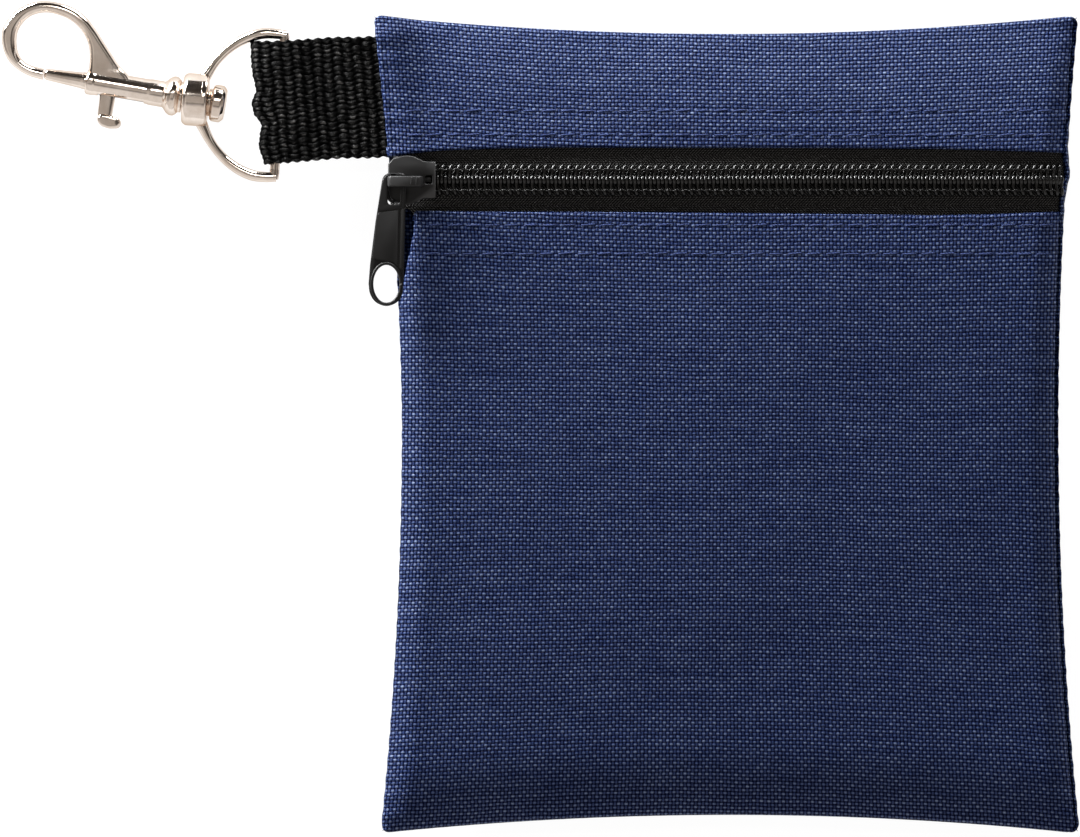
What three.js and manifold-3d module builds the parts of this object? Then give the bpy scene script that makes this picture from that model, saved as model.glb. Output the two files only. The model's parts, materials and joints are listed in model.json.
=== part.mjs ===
// Flat zipped cash pouch with a webbing tab, D-ring and swivel trigger hook.
// Millimetres. The pouch lies on its back face: +X runs along the zip, +Y towards the top
// edge, +Z out of the front face, origin on the back face under the middle of the pouch.
import * as THREE from 'three';
import { mergeVertices } from 'three/addons/utils/BufferGeometryUtils.js';
import Module from 'manifold-3d';

const wasm = await Module();
wasm.setup();

// ---------- driving dimensions ----------
const HALF_WIDTH = 70.2;         // pouch, centre to side seam at the corners
const HALF_HEIGHT = 82.6;        // pouch, centre to top edge at the corners
const SIDE_PULL = 4.3;           // side seams draw in by this much at mid-height
const END_PULL = 3.6;            // top and bottom edges draw in by this much at mid-width
const LEFT_LEAN = 1.5;           // the tab holds the upper left corner out by this much
const CLOTH = 0.5;               // coated polyester cloth
const SEAM_Z = 5.4;              // middle plane of the side seams, tab, ring and hook
const RIM_GAP = 1;               // between the two panels where they are sewn together
const SIDE_SHOULDER = 5;         // the front rises to its full height this far in from a side
const END_SHOULDER = 14;
const BACK_SHOULDER = 16;
const BAND_RISE = 1.95;          // from the front rim up to the level band along the zip
const LOWER_CROWN = 2;           // further bulge of the lower front panel
const TOP_CROWN = 0.4;
const TAB_PARTING = 1.2;         // the rims part by this much above and below the tab

const ZIP_Y = 49.2;
const ZIP_MOUTH = 6.5;           // zip centre to each panel's folded edge
const TAPE_HALF = 14.7;
const TAPE_Z = 7.05;
const TAPE_ENDS = [-60.5, 60];
const COIL_PITCH = 1.62;
const COIL_HALF = 3.03;          // half the width of the closed chain
const COIL_Z = [7.85, 8.75];
const COIL_ENDS = [-60.4, 60];
const STITCH_ROWS = { topstitch_upper_far: 63.2, topstitch_upper_near: 58.3,
  topstitch_lower_near: 40.1, topstitch_lower_far: 34.3 };

const PLATE_Z = [9, 9.9];        // slider's top plate
const BRIDGE_PIVOT = [-67.75, 48.8];
const PULL_Z = [10.6, 11.6];

const TAB_HINGE = [-71.4, 66.1]; // middle of the line where the tab leaves the seam
const TAB_ANGLE = 4.6;           // degrees, tab's own axis against the zip
const TAB_WIDTH = 24.3;
const TAB_PLY = 1.3;             // one layer of webbing
const RING_CENTRE = [-108, 65.5];
const RING_ANGLE = -4.3;
const RING_WIRE = 0.95;          // wire radius
const RING_REACH = 17;           // collar centre to the straight bar's centreline
const COLLAR_RADIUS = 5.3;
const COLLAR_HALF = 2.55;
const STUD_RADIUS = 1.6;
const HOOK_ANGLE = -9.7;
const HOOK_THICKNESS = 4;
const BARREL_RADIUS = 2.55;
const BOLT_RADIUS = 1.6;
const CLEARANCE = 0.3;

// ---------- materials ----------
const finish = (color, roughness, metalness = 0) =>
  new THREE.MeshStandardMaterial({ color, roughness, metalness });
const cloth = () => finish(0x262f52, 0.75);
const thread = () => finish(0x2d3760, 0.6);
const blackTape = () => finish(0x161616, 0.8);
const blackCoil = () => finish(0x1b1b1b, 0.4);
const webbing = () => finish(0x181818, 0.85);
const nickel = () => finish(0xcfc6bc, 0.2, 1);
const blackMetal = () => finish(0x101010, 0.35, 0.5);
const springSteel = () => finish(0x9a9a98, 0.35, 1);

// ---------- solids ----------
const radians = THREE.MathUtils.degToRad;

function closed(geometry) {
  geometry.deleteAttribute('normal');
  geometry.deleteAttribute('uv');
  const merged = mergeVertices(geometry, 1e-4);
  const corners = merged.index.array;
  const kept = [];
  for (let i = 0; i < corners.length; i += 3) {
    const [a, b, c] = corners.slice(i, i + 3);
    if (a !== b && b !== c && c !== a) kept.push(a, b, c);
  }
  merged.setIndex(kept);
  return merged;
}

function solid(geometry) {
  const { position } = geometry.attributes;
  return new wasm.Manifold(new wasm.Mesh({
    numProp: 3,
    vertProperties: Float32Array.from(position.array),
    triVerts: Uint32Array.from(geometry.index.array),
  }));
}

function surface(body) {
  const { vertProperties, triVerts } = body.getMesh();
  const geometry = new THREE.BufferGeometry();
  geometry.setAttribute('position', new THREE.BufferAttribute(vertProperties, 3));
  geometry.setIndex(Array.from(triVerts));
  return geometry;
}

const join = (...pieces) => surface(pieces.map(solid).reduce((whole, next) => whole.add(next)));
const cut = (base, ...tools) =>
  surface(tools.map(solid).reduce((left, tool) => left.subtract(tool), solid(base)));

function box(x, y, z) {
  const geometry = new THREE.BoxGeometry(x[1] - x[0], y[1] - y[0], z[1] - z[0]);
  return closed(geometry.translate((x[0] + x[1]) / 2, (y[0] + y[1]) / 2, (z[0] + z[1]) / 2));
}

// A flat shape extruded upwards between two heights.
function slab(shape, [low, high], curveSegments = 6) {
  const geometry = new THREE.ExtrudeGeometry(shape,
    { depth: high - low, bevelEnabled: false, curveSegments });
  return closed(geometry.translate(0, 0, low));
}

// A profile drawn in x and z, extruded along y about the middle plane y = 0.
function loaf(shape, width, curveSegments = 6) {
  const geometry = new THREE.ExtrudeGeometry(shape,
    { depth: width, bevelEnabled: false, curveSegments });
  return closed(geometry.rotateX(Math.PI / 2).translate(0, width / 2, 0));
}

// Turned about the x axis from [x, radius] pairs.
function turned(profile, segments = 16) {
  const points = profile.map(([x, radius]) => new THREE.Vector2(radius, x));
  return closed(new THREE.LatheGeometry(points, segments).rotateZ(-Math.PI / 2));
}

function tube(curve, radius, steps, sides = 8) {
  const section = new THREE.Shape();
  for (let i = 0; i < sides; i++) {
    const angle = (2 * Math.PI * i) / sides;
    const move = i === 0 ? 'moveTo' : 'lineTo';
    section[move](radius * Math.cos(angle), radius * Math.sin(angle));
  }
  return closed(new THREE.ExtrudeGeometry(section,
    { steps, extrudePath: curve, bevelEnabled: false }));
}

const outline = (points) => new THREE.Shape(points.map(([x, y]) => new THREE.Vector2(x, y)));

function spline(points, divisions) {
  const curve = new THREE.SplineCurve(points.map(([x, y]) => new THREE.Vector2(x, y)));
  return curve.getPoints(divisions).map(({ x, y }) => [x, y]);
}

// ---------- the pouch's form: s runs from -1 at the left seam to 1 at the right ----------
const halfWidthAt = (y) => HALF_WIDTH - SIDE_PULL * (1 - (y / HALF_HEIGHT) ** 2);
const endAt = (s) => HALF_HEIGHT - END_PULL * (1 - s * s);
const leanAt = (s, y) => LEFT_LEAN * Math.min(s, 0) * (Math.max(y, 0) / HALF_HEIGHT) ** 1.2;
const planX = (s, y) => s * halfWidthAt(y) + leanAt(s, y);
const shoulder = (distance, reach) => 1 - (1 - Math.min(Math.max(distance / reach, 0), 1)) ** 2;
const { lerp, smoothstep } = THREE.MathUtils;

// 1 where the tab's layers lie between the left rims, 0 away from it.
const tabWindow = (s, y) => (s < 0 ? smoothstep(y, 50, 53) * (1 - smoothstep(y, 79, 82)) : 0);

function frontTop(s, y) {
  const fromSide = (1 - Math.abs(s)) * halfWidthAt(y);
  const rise = shoulder(fromSide, SIDE_SHOULDER) * shoulder(endAt(s) - Math.abs(y), END_SHOULDER);
  const [base, rim, crown] = y > ZIP_Y
    ? [ZIP_Y + ZIP_MOUTH, endAt(s), TOP_CROWN]
    : [ZIP_Y - ZIP_MOUTH, -endAt(s), LOWER_CROWN];
  const along = (y - rim) / (base - rim);
  const bulge = crown * 4 * along * (1 - along) * (1 - s * s);
  const parting = TAB_PARTING * tabWindow(s, y) * (1 - rise);
  return SEAM_Z + RIM_GAP / 2 + CLOTH + BAND_RISE * rise + bulge + parting;
}

function backBottom(s, y) {
  const fromSide = (1 - Math.abs(s)) * halfWidthAt(y);
  const fromEnd = endAt(s) - Math.abs(y);
  const lift = 1 - shoulder(fromSide, BACK_SHOULDER) * shoulder(fromEnd, BACK_SHOULDER);
  return (SEAM_Z - RIM_GAP / 2 - CLOTH - TAB_PARTING * tabWindow(s, y)) * lift;
}

// A cloth sheet over the plan from place(s, v), with v from 0 at its lower edge to 1.
function sheet(columns, rows, place, thickness = CLOTH) {
  const geometry = new THREE.BoxGeometry(2, 1, 1, columns, rows, 1);
  const spots = geometry.getAttribute('position');
  for (let i = 0; i < spots.count; i++) {
    const s = Math.sin((spots.getX(i) * Math.PI) / 2);
    const [x, y, z] = place(s, spots.getY(i) + 0.5);
    spots.setXYZ(i, x, y, spots.getZ(i) > 0 ? z + thickness : z);
  }
  return closed(geometry);
}

function backPanel() {
  return sheet(15, 15, (s, v) => {
    const y = Math.sin((v - 0.5) * Math.PI) * endAt(s);
    return [planX(s, y), y, backBottom(s, y)];
  });
}

function frontLowerPanel() {
  return sheet(16, 12, (s, v) => {
    const y = lerp(-endAt(s), ZIP_Y - ZIP_MOUTH, 1 - Math.cos((v * Math.PI) / 2));
    return [planX(s, y), y, frontTop(s, y) - CLOTH];
  });
}

function frontTopPanel() {
  return sheet(16, 6, (s, v) => {
    const y = lerp(ZIP_Y + ZIP_MOUTH, endAt(s), Math.sin((v * Math.PI) / 2));
    return [planX(s, y), y, frontTop(s, y) - CLOTH];
  });
}

// The seam's lockstitch runs round the rim and stops short of the tab on both sides.
function seamThread() {
  const inset = 1;
  const left = (y) => [planX(-1, y) + inset, y];
  const right = (y) => [planX(1, y) - inset, y];
  const points = [left(80.6)];
  for (let s = -1; s <= 1; s += 0.25) {
    points.push([planX(s, endAt(s)) - inset * s, endAt(s) - inset]);
  }
  for (let y = 70; y >= -70; y -= 20) points.push(right(y));
  for (let s = 1; s >= -1; s -= 0.25) {
    points.push([planX(s, -endAt(s)) - inset * s, inset - endAt(s)]);
  }
  for (let y = -70; y <= 40; y += 20) points.push(left(y));
  points.push(left(49));
  const path = new THREE.CatmullRomCurve3(points.map(([x, y]) => new THREE.Vector3(x, y, SEAM_Z)),
    false, 'centripetal');
  return tube(path, 0.2, 84, 5);
}

function topstitch(y) {
  const width = 0.5;
  const reach = 65;
  const lift = CLEARANCE + 0.1;
  return sheet(26, 1, (s, v) => {
    const top = frontTop((s * reach) / halfWidthAt(y), y);
    return [s * reach, y + width * (v - 0.5), top + lift];
  }, 0.35);
}

// ---------- zip ----------
const zipTape = (side) => box(TAPE_ENDS,
  side > 0 ? [ZIP_Y + 0.5, ZIP_Y + TAPE_HALF] : [ZIP_Y - TAPE_HALF, ZIP_Y - 0.5],
  [TAPE_Z, TAPE_Z + CLOTH]);

// One row of coil loops: a spine with teeth that reach just past the zip's centre line.
function coilRow(side) {
  const tooth = 0.5;
  const tip = -0.6 * side;
  const root = 1.4 * side;
  const back = COIL_HALF * side;
  const first = COIL_ENDS[0] + (side > 0 ? 0.2 : 0.2 + COIL_PITCH / 2);
  const points = [[COIL_ENDS[0], back], [COIL_ENDS[0], root]];
  for (let x = first; x + tooth < COIL_ENDS[1]; x += COIL_PITCH) {
    points.push([x, root], [x, tip], [x + tooth, tip], [x + tooth, root]);
  }
  points.push([COIL_ENDS[1], root], [COIL_ENDS[1], back]);
  return slab(outline(points), COIL_Z).translate(0, ZIP_Y, 0);
}

// ---------- slider, its bridge and pull ----------
const SLIDER_X = [-69.1, -59.4];
const FRONT_HALF = 5;
const REAR_HALF = 3.75;
const BEVEL_X = [-64.2, -61.8];

function sliderBody() {
  const [front, rear] = SLIDER_X;
  const plan = outline([[front + 0.9, -FRONT_HALF], [BEVEL_X[0], -FRONT_HALF],
    [BEVEL_X[1], -REAR_HALF], [rear, -REAR_HALF], [rear, REAR_HALF], [BEVEL_X[1], REAR_HALF],
    [BEVEL_X[0], FRONT_HALF], [front + 0.9, FRONT_HALF], [front, FRONT_HALF - 1.2],
    [front, 1.2 - FRONT_HALF]]);
  const flange = (side) => slab(outline([[front + 1.2, 4.2 * side], [front + 1.2, 4.8 * side],
    [BEVEL_X[0], 4.8 * side], [BEVEL_X[1], 3.7 * side], [rear, 3.7 * side], [rear, 3.25 * side],
    [BEVEL_X[1], 3.25 * side], [BEVEL_X[0], 4.2 * side]]), [TAPE_Z + CLOTH + CLEARANCE, 9.4]);
  const under = outline([[-66.5, -3], [-65.6, -3.9], [-62, -3.6], [-59.6, -3.6], [-59.6, 3.6],
    [-62, 3.6], [-65.6, 3.9], [-66.5, 3]]);
  const neck = outline([[-66.3, 0], [-65.3, -1.2], [-64.5, 0], [-65.3, 1.2]]);
  const body = join(slab(plan, PLATE_Z), flange(1), flange(-1), slab(under, [5.8, 6.7]),
    slab(neck, [6.5, 9.2]));
  return cut(body, box([-61.5, -60.1], [-0.8, 0.8], [8.5, 10.5])).translate(0, ZIP_Y, 0);
}

function bridge() {
  const foot = PLATE_Z[1] + CLEARANCE;
  const [barLow, barHigh] = [12.75, 13.65];
  const arch = outline([[-68.7, foot], [-66.8, foot], [-66.6, barLow], [-63.4, barLow],
    [-63.1, foot], [-61.9, foot], [-61.9, 12.9], [-62.6, barHigh], [-68.1, barHigh],
    [-68.7, 13.1]]);
  const bar = box([-68.4, -62.3], [-1.05, 1.05], [barLow + 0.05, barHigh - 0.05]);
  return join(loaf(arch, 1.2), bar).translate(0, BRIDGE_PIVOT[1], 0);
}

function lockPin() {
  const hook = outline([[-61.3, 9.05], [-60.9, 9.05], [-60.9, 10.2], [-60.4, 10.2], [-60.4, 10.5],
    [-61.3, 10.5]]);
  return loaf(hook, 0.9).translate(0, ZIP_Y, 0);
}

function pullTab() {
  const shape = outline([[-69.8, 50.85], [-70.4, 50.2], [-71.5, 40.7], [-72.6, 32],
    ...spline([[-72.95, 28.2], [-71.9, 25.1], [-69.4, 23.7], [-66.9, 25], [-65.8, 28]], 10),
    [-65.3, 47], [-65.2, 50.2], [-65.8, 50.85]]);
  shape.holes.push(outline([[-69.05, 44.2], [-66.45, 44.2], [-66.45, 50.15], [-69.05, 50.15]]));
  const hole = new THREE.Path();
  hole.absellipse(-69.3, 28.2, 2.6, 3.8, 0, 2 * Math.PI, true, 0);
  shape.holes.push(hole);
  return slab(shape, PULL_Z, 18);
}

// ---------- webbing tab, in its own frame: x towards the pouch, origin on the hinge line ----------
const RING_BAR_X = -19.74;       // where the ring's bar lies along the tab

function tabLoop() {
  const rootRadius = TAB_PLY + 0.1;
  const foldRadius = TAB_PLY + 1.25;
  const foldX = -22.1;
  const shape = new THREE.Shape();
  shape.moveTo(0, rootRadius);
  shape.lineTo(-11.5, TAB_PLY + 0.15);
  shape.lineTo(-15.5, foldRadius);
  shape.lineTo(foldX, foldRadius);
  shape.absarc(foldX, 0, foldRadius, Math.PI / 2, (3 * Math.PI) / 2, false);
  shape.lineTo(-15.5, -foldRadius);
  shape.lineTo(-11.5, -TAB_PLY - 0.15);
  shape.lineTo(0, -rootRadius);
  shape.absarc(0, 0, rootRadius, -Math.PI / 2, Math.PI / 2, false);
  const slot = new THREE.Path();
  slot.moveTo(-16.4, 1.25);
  slot.lineTo(-16.4, -1.25);
  slot.lineTo(-21.9, -1.25);
  slot.absarc(-21.9, 0, 1.25, -Math.PI / 2, Math.PI / 2, true);
  shape.holes.push(slot);
  const loop = loaf(shape, TAB_WIDTH - 0.5);
  const corner = (side) => slab(outline([[-27, 14 * side], [-21, 14 * side], [-21.5, 12.3 * side],
    [-23.6, 11.3 * side], [-25.5, 9.6 * side], [-27, 9 * side]]), [-4, 4]);
  return cut(loop, corner(1), corner(-1));
}

const tabTail = () => box([1.75, 11], [-TAB_WIDTH / 2, TAB_WIDTH / 2], [-TAB_PLY, TAB_PLY]);

// ---------- D-ring, in its own frame: x from the collar's centre to the bar ----------
function dRing() {
  const bore = STUD_RADIUS + 0.4;
  const collar = turned([[-COLLAR_HALF, bore], [-COLLAR_HALF, 4.7],
    [0.6 - COLLAR_HALF, COLLAR_RADIUS], [COLLAR_HALF - 0.3, COLLAR_RADIUS],
    [COLLAR_HALF, 4.4], [COLLAR_HALF, bore], [-COLLAR_HALF, bore]], 20);
  const cornerY = 14.25;
  const arm = (side) => tube(new THREE.CatmullRomCurve3([[RING_REACH + 0.9, cornerY],
    [13.6, 14.35], [10.1, 13.4], [5.3, 10.2], [1.7, 5]]
    .map(([x, y]) => new THREE.Vector3(x, y * side, 0))), RING_WIRE, 10);
  const bar = tube(new THREE.LineCurve3(new THREE.Vector3(RING_REACH, -cornerY - 0.9, 0),
    new THREE.Vector3(RING_REACH, cornerY + 0.9, 0)), RING_WIRE, 1);
  return join(collar, arm(1), arm(-1), bar);
}

// ---------- trigger hook, in its own frame: x towards the ring, origin in the collar ----------
const BARREL_X = [-22.3, -6];
const SPRING_SEAT = -9.6;

function hookBody() {
  const outer = spline([[-31.2, -1.2], [-36.2, -0.1], [-39.4, 2.6], [-40.7, 6], [-39.9, 9.7],
    [-37, 13.1], [-31.8, 14.6], [-26.9, 13.9], [-22.9, 11]], 24);
  const inner = spline([[-22.2, 2.4], [-22.5, 5.8], [-24.3, 9.1], [-28, 11.7], [-32.6, 12.35],
    [-36.4, 10.4], [-37.8, 7.2], [-37.3, 4], [-35.2, 1.6], [-31.2, 0.95]], 24);
  const frame = slab(outline([...outer, [-14.4, 2.3], [-14.4, 1.2], [-22.2, 1.2], ...inner]),
    [-HOOK_THICKNESS / 2, HOOK_THICKNESS / 2]);
  const barrel = turned([[BARREL_X[0], 0], [BARREL_X[0], BARREL_RADIUS],
    [BARREL_X[1], BARREL_RADIUS], [-5.9, 3.4], [-5.2, 4], [-3.9, 4], [-3.1, 3.3], [-3.1, 0]], 20);
  const boltBore = turned([[-23, 0], [-23, 1.95], [SPRING_SEAT, 1.95], [SPRING_SEAT, 0]]);
  const studBore = turned([[-8.4, 0], [-8.4, STUD_RADIUS + CLEARANCE], [-2, STUD_RADIUS + CLEARANCE],
    [-2, 0]]);
  const leverSlot = box([-19.6, -10.4], [-4, 0], [-1.1, 1.1]);
  return cut(join(frame, barrel), boltBore, studBore, leverSlot);
}

const swivelStud = () => turned([[-8, 0], [-8, STUD_RADIUS], [3.4, STUD_RADIUS], [3.4, 3.5],
  [3.7, 3.75], [5.5, 3.75], [6.1, 3.1], [6.1, 0]]);

function latchBolt() {
  const pin = turned([[-30.9, 0], [-30.9, 0.9], [-30.5, 1.15], [-23.2, 1.5], [-22.6, BOLT_RADIUS],
    [-16.2, BOLT_RADIUS], [-16.2, 0]]);
  const stem = slab(outline([[-19.1, -1], [-18.6, -6.6], [-16.2, -6.6], [-16.3, -1]]), [-0.8, 0.8]);
  const pad = slab(outline([[-18.5, -6.2], [-18.9, -7.2], [-18.2, -8.3], [-16.4, -8.6],
    [-14.6, -8.3], [-13.95, -7.3], [-14.4, -6.3], [-16.4, -6]]), [-2.4, 2.4]);
  return join(pin, stem, pad);
}

function latchSpring() {
  const turns = 5;
  const points = [];
  for (let i = 0; i <= turns * 10; i++) {
    const angle = (2 * Math.PI * i) / 10;
    const x = lerp(-15.6, -10.2, i / (turns * 10));
    points.push(new THREE.Vector3(x, 1.35 * Math.cos(angle), 1.35 * Math.sin(angle)));
  }
  return tube(new THREE.CatmullRomCurve3(points), 0.28, turns * 10, 5);
}

// ---------- assembly ----------
const pouch = new THREE.Group();

function place(parent, name, geometry, material) {
  const mesh = new THREE.Mesh(geometry, material);
  mesh.name = name;
  parent.add(mesh);
}

function frameAt([x, y], degrees) {
  const frame = new THREE.Group();
  frame.position.set(x, y, SEAM_Z);
  frame.rotation.z = radians(degrees);
  pouch.add(frame);
  return frame;
}

place(pouch, 'back_panel', backPanel(), cloth());
place(pouch, 'front_lower_panel', frontLowerPanel(), cloth());
place(pouch, 'front_top_panel', frontTopPanel(), cloth());
place(pouch, 'seam_thread', seamThread(), thread());
for (const [name, y] of Object.entries(STITCH_ROWS)) place(pouch, name, topstitch(y), thread());

place(pouch, 'zipper_tape_upper', zipTape(1), blackTape());
place(pouch, 'zipper_tape_lower', zipTape(-1), blackTape());
place(pouch, 'zipper_coil_upper', coilRow(1), blackCoil());
place(pouch, 'zipper_coil_lower', coilRow(-1), blackCoil());
place(pouch, 'slider_body', sliderBody(), blackMetal());
place(pouch, 'slider_bridge', bridge(), blackMetal());
place(pouch, 'slider_lock_pin', lockPin(), springSteel());
place(pouch, 'pull_tab', pullTab(), blackMetal());

const tab = frameAt(TAB_HINGE, TAB_ANGLE);
place(tab, 'tab_loop', tabLoop(), webbing());
place(tab, 'tab_tail', tabTail(), webbing());
place(frameAt(RING_CENTRE, RING_ANGLE), 'd_ring', dRing(), nickel());

const hook = frameAt(RING_CENTRE, HOOK_ANGLE);
place(hook, 'hook_body', hookBody(), nickel());
place(hook, 'swivel_stud', swivelStud(), nickel());
place(hook, 'latch_bolt', latchBolt(), nickel());
place(hook, 'latch_spring', latchSpring(), springSteel());

export default pouch;
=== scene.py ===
"""Looks for the zipped cash pouch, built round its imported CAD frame.

Lengths inside this script are millimetres in the row's frame: +X along the zip, +Y towards the
top edge, +Z out of the front face. They become metres only where a mesh is made.
"""

import json
import math

import bmesh
import bpy
import numpy as np
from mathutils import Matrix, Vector, geometry, noise


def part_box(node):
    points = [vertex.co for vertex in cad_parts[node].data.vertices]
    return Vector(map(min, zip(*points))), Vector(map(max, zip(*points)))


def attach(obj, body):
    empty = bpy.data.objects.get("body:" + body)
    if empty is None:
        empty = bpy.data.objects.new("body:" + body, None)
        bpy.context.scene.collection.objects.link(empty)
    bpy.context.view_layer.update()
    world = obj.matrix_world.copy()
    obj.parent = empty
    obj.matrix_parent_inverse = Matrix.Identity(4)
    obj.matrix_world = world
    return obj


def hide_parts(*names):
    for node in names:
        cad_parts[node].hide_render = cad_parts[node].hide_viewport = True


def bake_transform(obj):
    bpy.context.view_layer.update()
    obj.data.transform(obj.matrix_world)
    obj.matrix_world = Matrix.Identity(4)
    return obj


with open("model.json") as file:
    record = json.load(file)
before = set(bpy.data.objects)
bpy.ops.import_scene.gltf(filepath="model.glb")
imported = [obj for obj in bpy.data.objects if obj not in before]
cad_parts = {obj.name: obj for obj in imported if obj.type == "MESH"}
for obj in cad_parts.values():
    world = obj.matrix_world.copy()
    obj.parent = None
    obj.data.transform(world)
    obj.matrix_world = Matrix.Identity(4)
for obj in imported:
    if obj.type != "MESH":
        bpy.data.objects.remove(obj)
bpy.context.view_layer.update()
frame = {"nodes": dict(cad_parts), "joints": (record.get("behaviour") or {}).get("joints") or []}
MM = 0.001


# ---------------------------------------------------------------- sizes read from the frame
def node_box(name):
    """A CAD node's lowest and highest corner, in millimetres."""
    low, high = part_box(name)
    return np.array(low) / MM, np.array(high) / MM


def joint(name, turn=0.0):
    """A CAD joint's place in millimetres, and its axis's direction in plan less a turn."""
    found = next(j for j in frame["joints"] if j["name"] == name)
    return np.array(found["pos_m"]) / MM, math.atan2(found["axis"][1], found["axis"][0]) - turn


BACK_LOW, BACK_HIGH = node_box("back_panel")
HALF_HEIGHT = (BACK_HIGH[1] - BACK_LOW[1]) / 2
HALF_WIDTH = BACK_HIGH[0]
TAB_HINGE, TAB_ANGLE = joint("tab_flex", math.pi / 2)
RING_BAR, RING_ANGLE = joint("ring_swing", math.pi / 2)
COLLAR, HOOK_ANGLE = joint("hook_swivel")
RING_REACH = float(np.hypot(*(RING_BAR - COLLAR)[:2]))
SEAM_Z = TAB_HINGE[2]
TAPE_TOP = node_box("zipper_tape_upper")[1][2]
COIL_Z = node_box("zipper_coil_upper")[0][2], node_box("zipper_coil_upper")[1][2]
ZIP_Y = (node_box("zipper_tape_upper")[0][1] + node_box("zipper_tape_lower")[1][1]) / 2
LOWER_EDGE = node_box("front_lower_panel")[1][1]
UPPER_EDGE = node_box("front_top_panel")[0][1]
STITCH_ROWS = {name: float(sum(corner[1] for corner in node_box(name)) / 2) for name in (
    "topstitch_upper_far", "topstitch_upper_near", "topstitch_lower_near", "topstitch_lower_far")}
SLIDER_LOW, SLIDER_HIGH = node_box("slider_body")
PULL_LOW, PULL_HIGH = node_box("pull_tab")

SIDE_PULL = 4.3                  # side seams draw in by this much at mid-height
END_PULL = 3.6                   # top and bottom edges draw in by this much at mid-width
LEFT_LEAN = 1.5                  # the tab holds the upper left corner out
CORNER_RADIUS = 2.0              # the plan's corners are rounded by this much
CLOTH = 0.45                     # thickness of the cloth
TABLE_GAP = 0.12                 # the weave's crowns hold the back this far off the table
FRONT_RIM = SEAM_Z + 0.95        # top of the front panel beside the seam
BACK_RIM = SEAM_Z - 0.95
BAND_RISE = 2.4                  # the front stands this far above its rim
TOP_DROP = 3.3                   # the top seam sags to the table beside the thick zip
LOWER_CROWN = 1.5                # further bulge of the lower front at its middle
TOP_CROWN = 0.5                  # and of the top front
TAB_PARTING = 1.25               # the webbing's ends part the two sides of the seam
STITCH_PITCH = 3.85
MOUTH_HALF = 68                  # the zip's mouth reaches this far each side of the middle
HEM = 1.6                        # cloth that lies flat under the front past a fold
TAB_SPAN = 49.5, 53, 79, 82      # the seam starts, is fully, stays and ends parted by the tab
DROP_START = 53                  # the cloth slopes down from here to the top seam
DROP_LENGTH = 27


# ---------------------------------------------------------------- small tools
def smoothstep(x, low, high):
    """Rises smoothly from 0 at low to 1 at high."""
    t = np.clip((x - low) / (high - low), 0, 1)
    return t * t * (3 - 2 * t)


def shoulder(distance, reach):
    """Rises from 0 at once and levels out at 1 where distance is reach."""
    return 1 - (1 - np.clip(distance / reach, 0, 1)) ** 2


def field(x, y, scale, seed):
    """Smooth noise from -1 to 1 over plan positions, one value per point."""
    flat = [noise.noise((a / scale, b / scale, seed)) for a, b in zip(np.ravel(x), np.ravel(y))]
    return np.array(flat).reshape(np.shape(x))


def catmull(points, per_span):
    """A smooth curve through the points, with per_span samples for each span."""
    p = np.array(points, float)
    p = np.vstack([2 * p[0] - p[1], p, 2 * p[-1] - p[-2]])
    t = np.linspace(0, 1, per_span, endpoint=False)[:, None]
    spans = []
    for i in range(1, len(p) - 2):
        a, b, c, d = p[i - 1], p[i], p[i + 1], p[i + 2]
        spans.append(0.5 * (2 * b + (c - a) * t + (2 * a - 5 * b + 4 * c - d) * t ** 2
                            + (3 * b - a - 3 * c + d) * t ** 3))
    return np.vstack([*spans, p[-2:-1]])


def shade_smooth(mesh, sharp=None):
    """Shades a mesh smooth, but leaves edges sharp that turn by more than sharp degrees."""
    mesh.polygons.foreach_set("use_smooth", [True] * len(mesh.polygons))
    if sharp is not None:
        mesh.set_sharp_from_angle(angle=math.radians(sharp))


def add_to_scene(name, data):
    """A new object in the scene."""
    obj = bpy.data.objects.new(name, data)
    bpy.context.scene.collection.objects.link(obj)
    return obj


def add_object(name, verts, faces, material, uv=None, sharp=None):
    """A mesh object from millimetre vertices. uv is one (u, v) in millimetres for each vertex."""
    mesh = bpy.data.meshes.new(name)
    mesh.from_pydata((np.asarray(verts, float) * MM).tolist(), [], faces)
    mesh.validate()
    mesh.update()
    if uv is not None:
        layer = mesh.uv_layers.new(name="cloth_mm")
        corner = np.zeros(len(mesh.loops), np.int32)
        mesh.loops.foreach_get("vertex_index", corner)
        layer.data.foreach_set("uv", np.asarray(uv, np.float32)[corner].ravel())
    shade_smooth(mesh, sharp)
    if material is not None:
        mesh.materials.append(material)
    return add_to_scene(name, mesh)


def settle(piece, body, node):
    """The piece moves with a body and stands for a CAD node, whose own mesh is hidden."""
    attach(piece, body)
    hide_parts(node)


def grid_faces(rows, columns, start=0, flip=False, wrap=False):
    """The quads of a grid of vertices, stored row by row."""
    faces = []
    last = columns if wrap else columns - 1
    for r in range(rows - 1):
        for c in range(last):
            a = start + r * columns + c
            b = start + r * columns + (c + 1) % columns
            quad = (a, b, b + columns, a + columns)
            faces.append(quad[::-1] if flip else quad)
    return faces


def end_caps(sides, total):
    """The two end faces of a wrapped grid of total vertices."""
    return [tuple(range(sides))[::-1], tuple(range(total - sides, total))]


def grid_normals(p):
    """The unit normal at each point of a grid."""
    n = np.cross(np.gradient(p, axis=1), np.gradient(p, axis=0))
    return n / np.maximum(np.linalg.norm(n, axis=2, keepdims=True), 1e-9)


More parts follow.
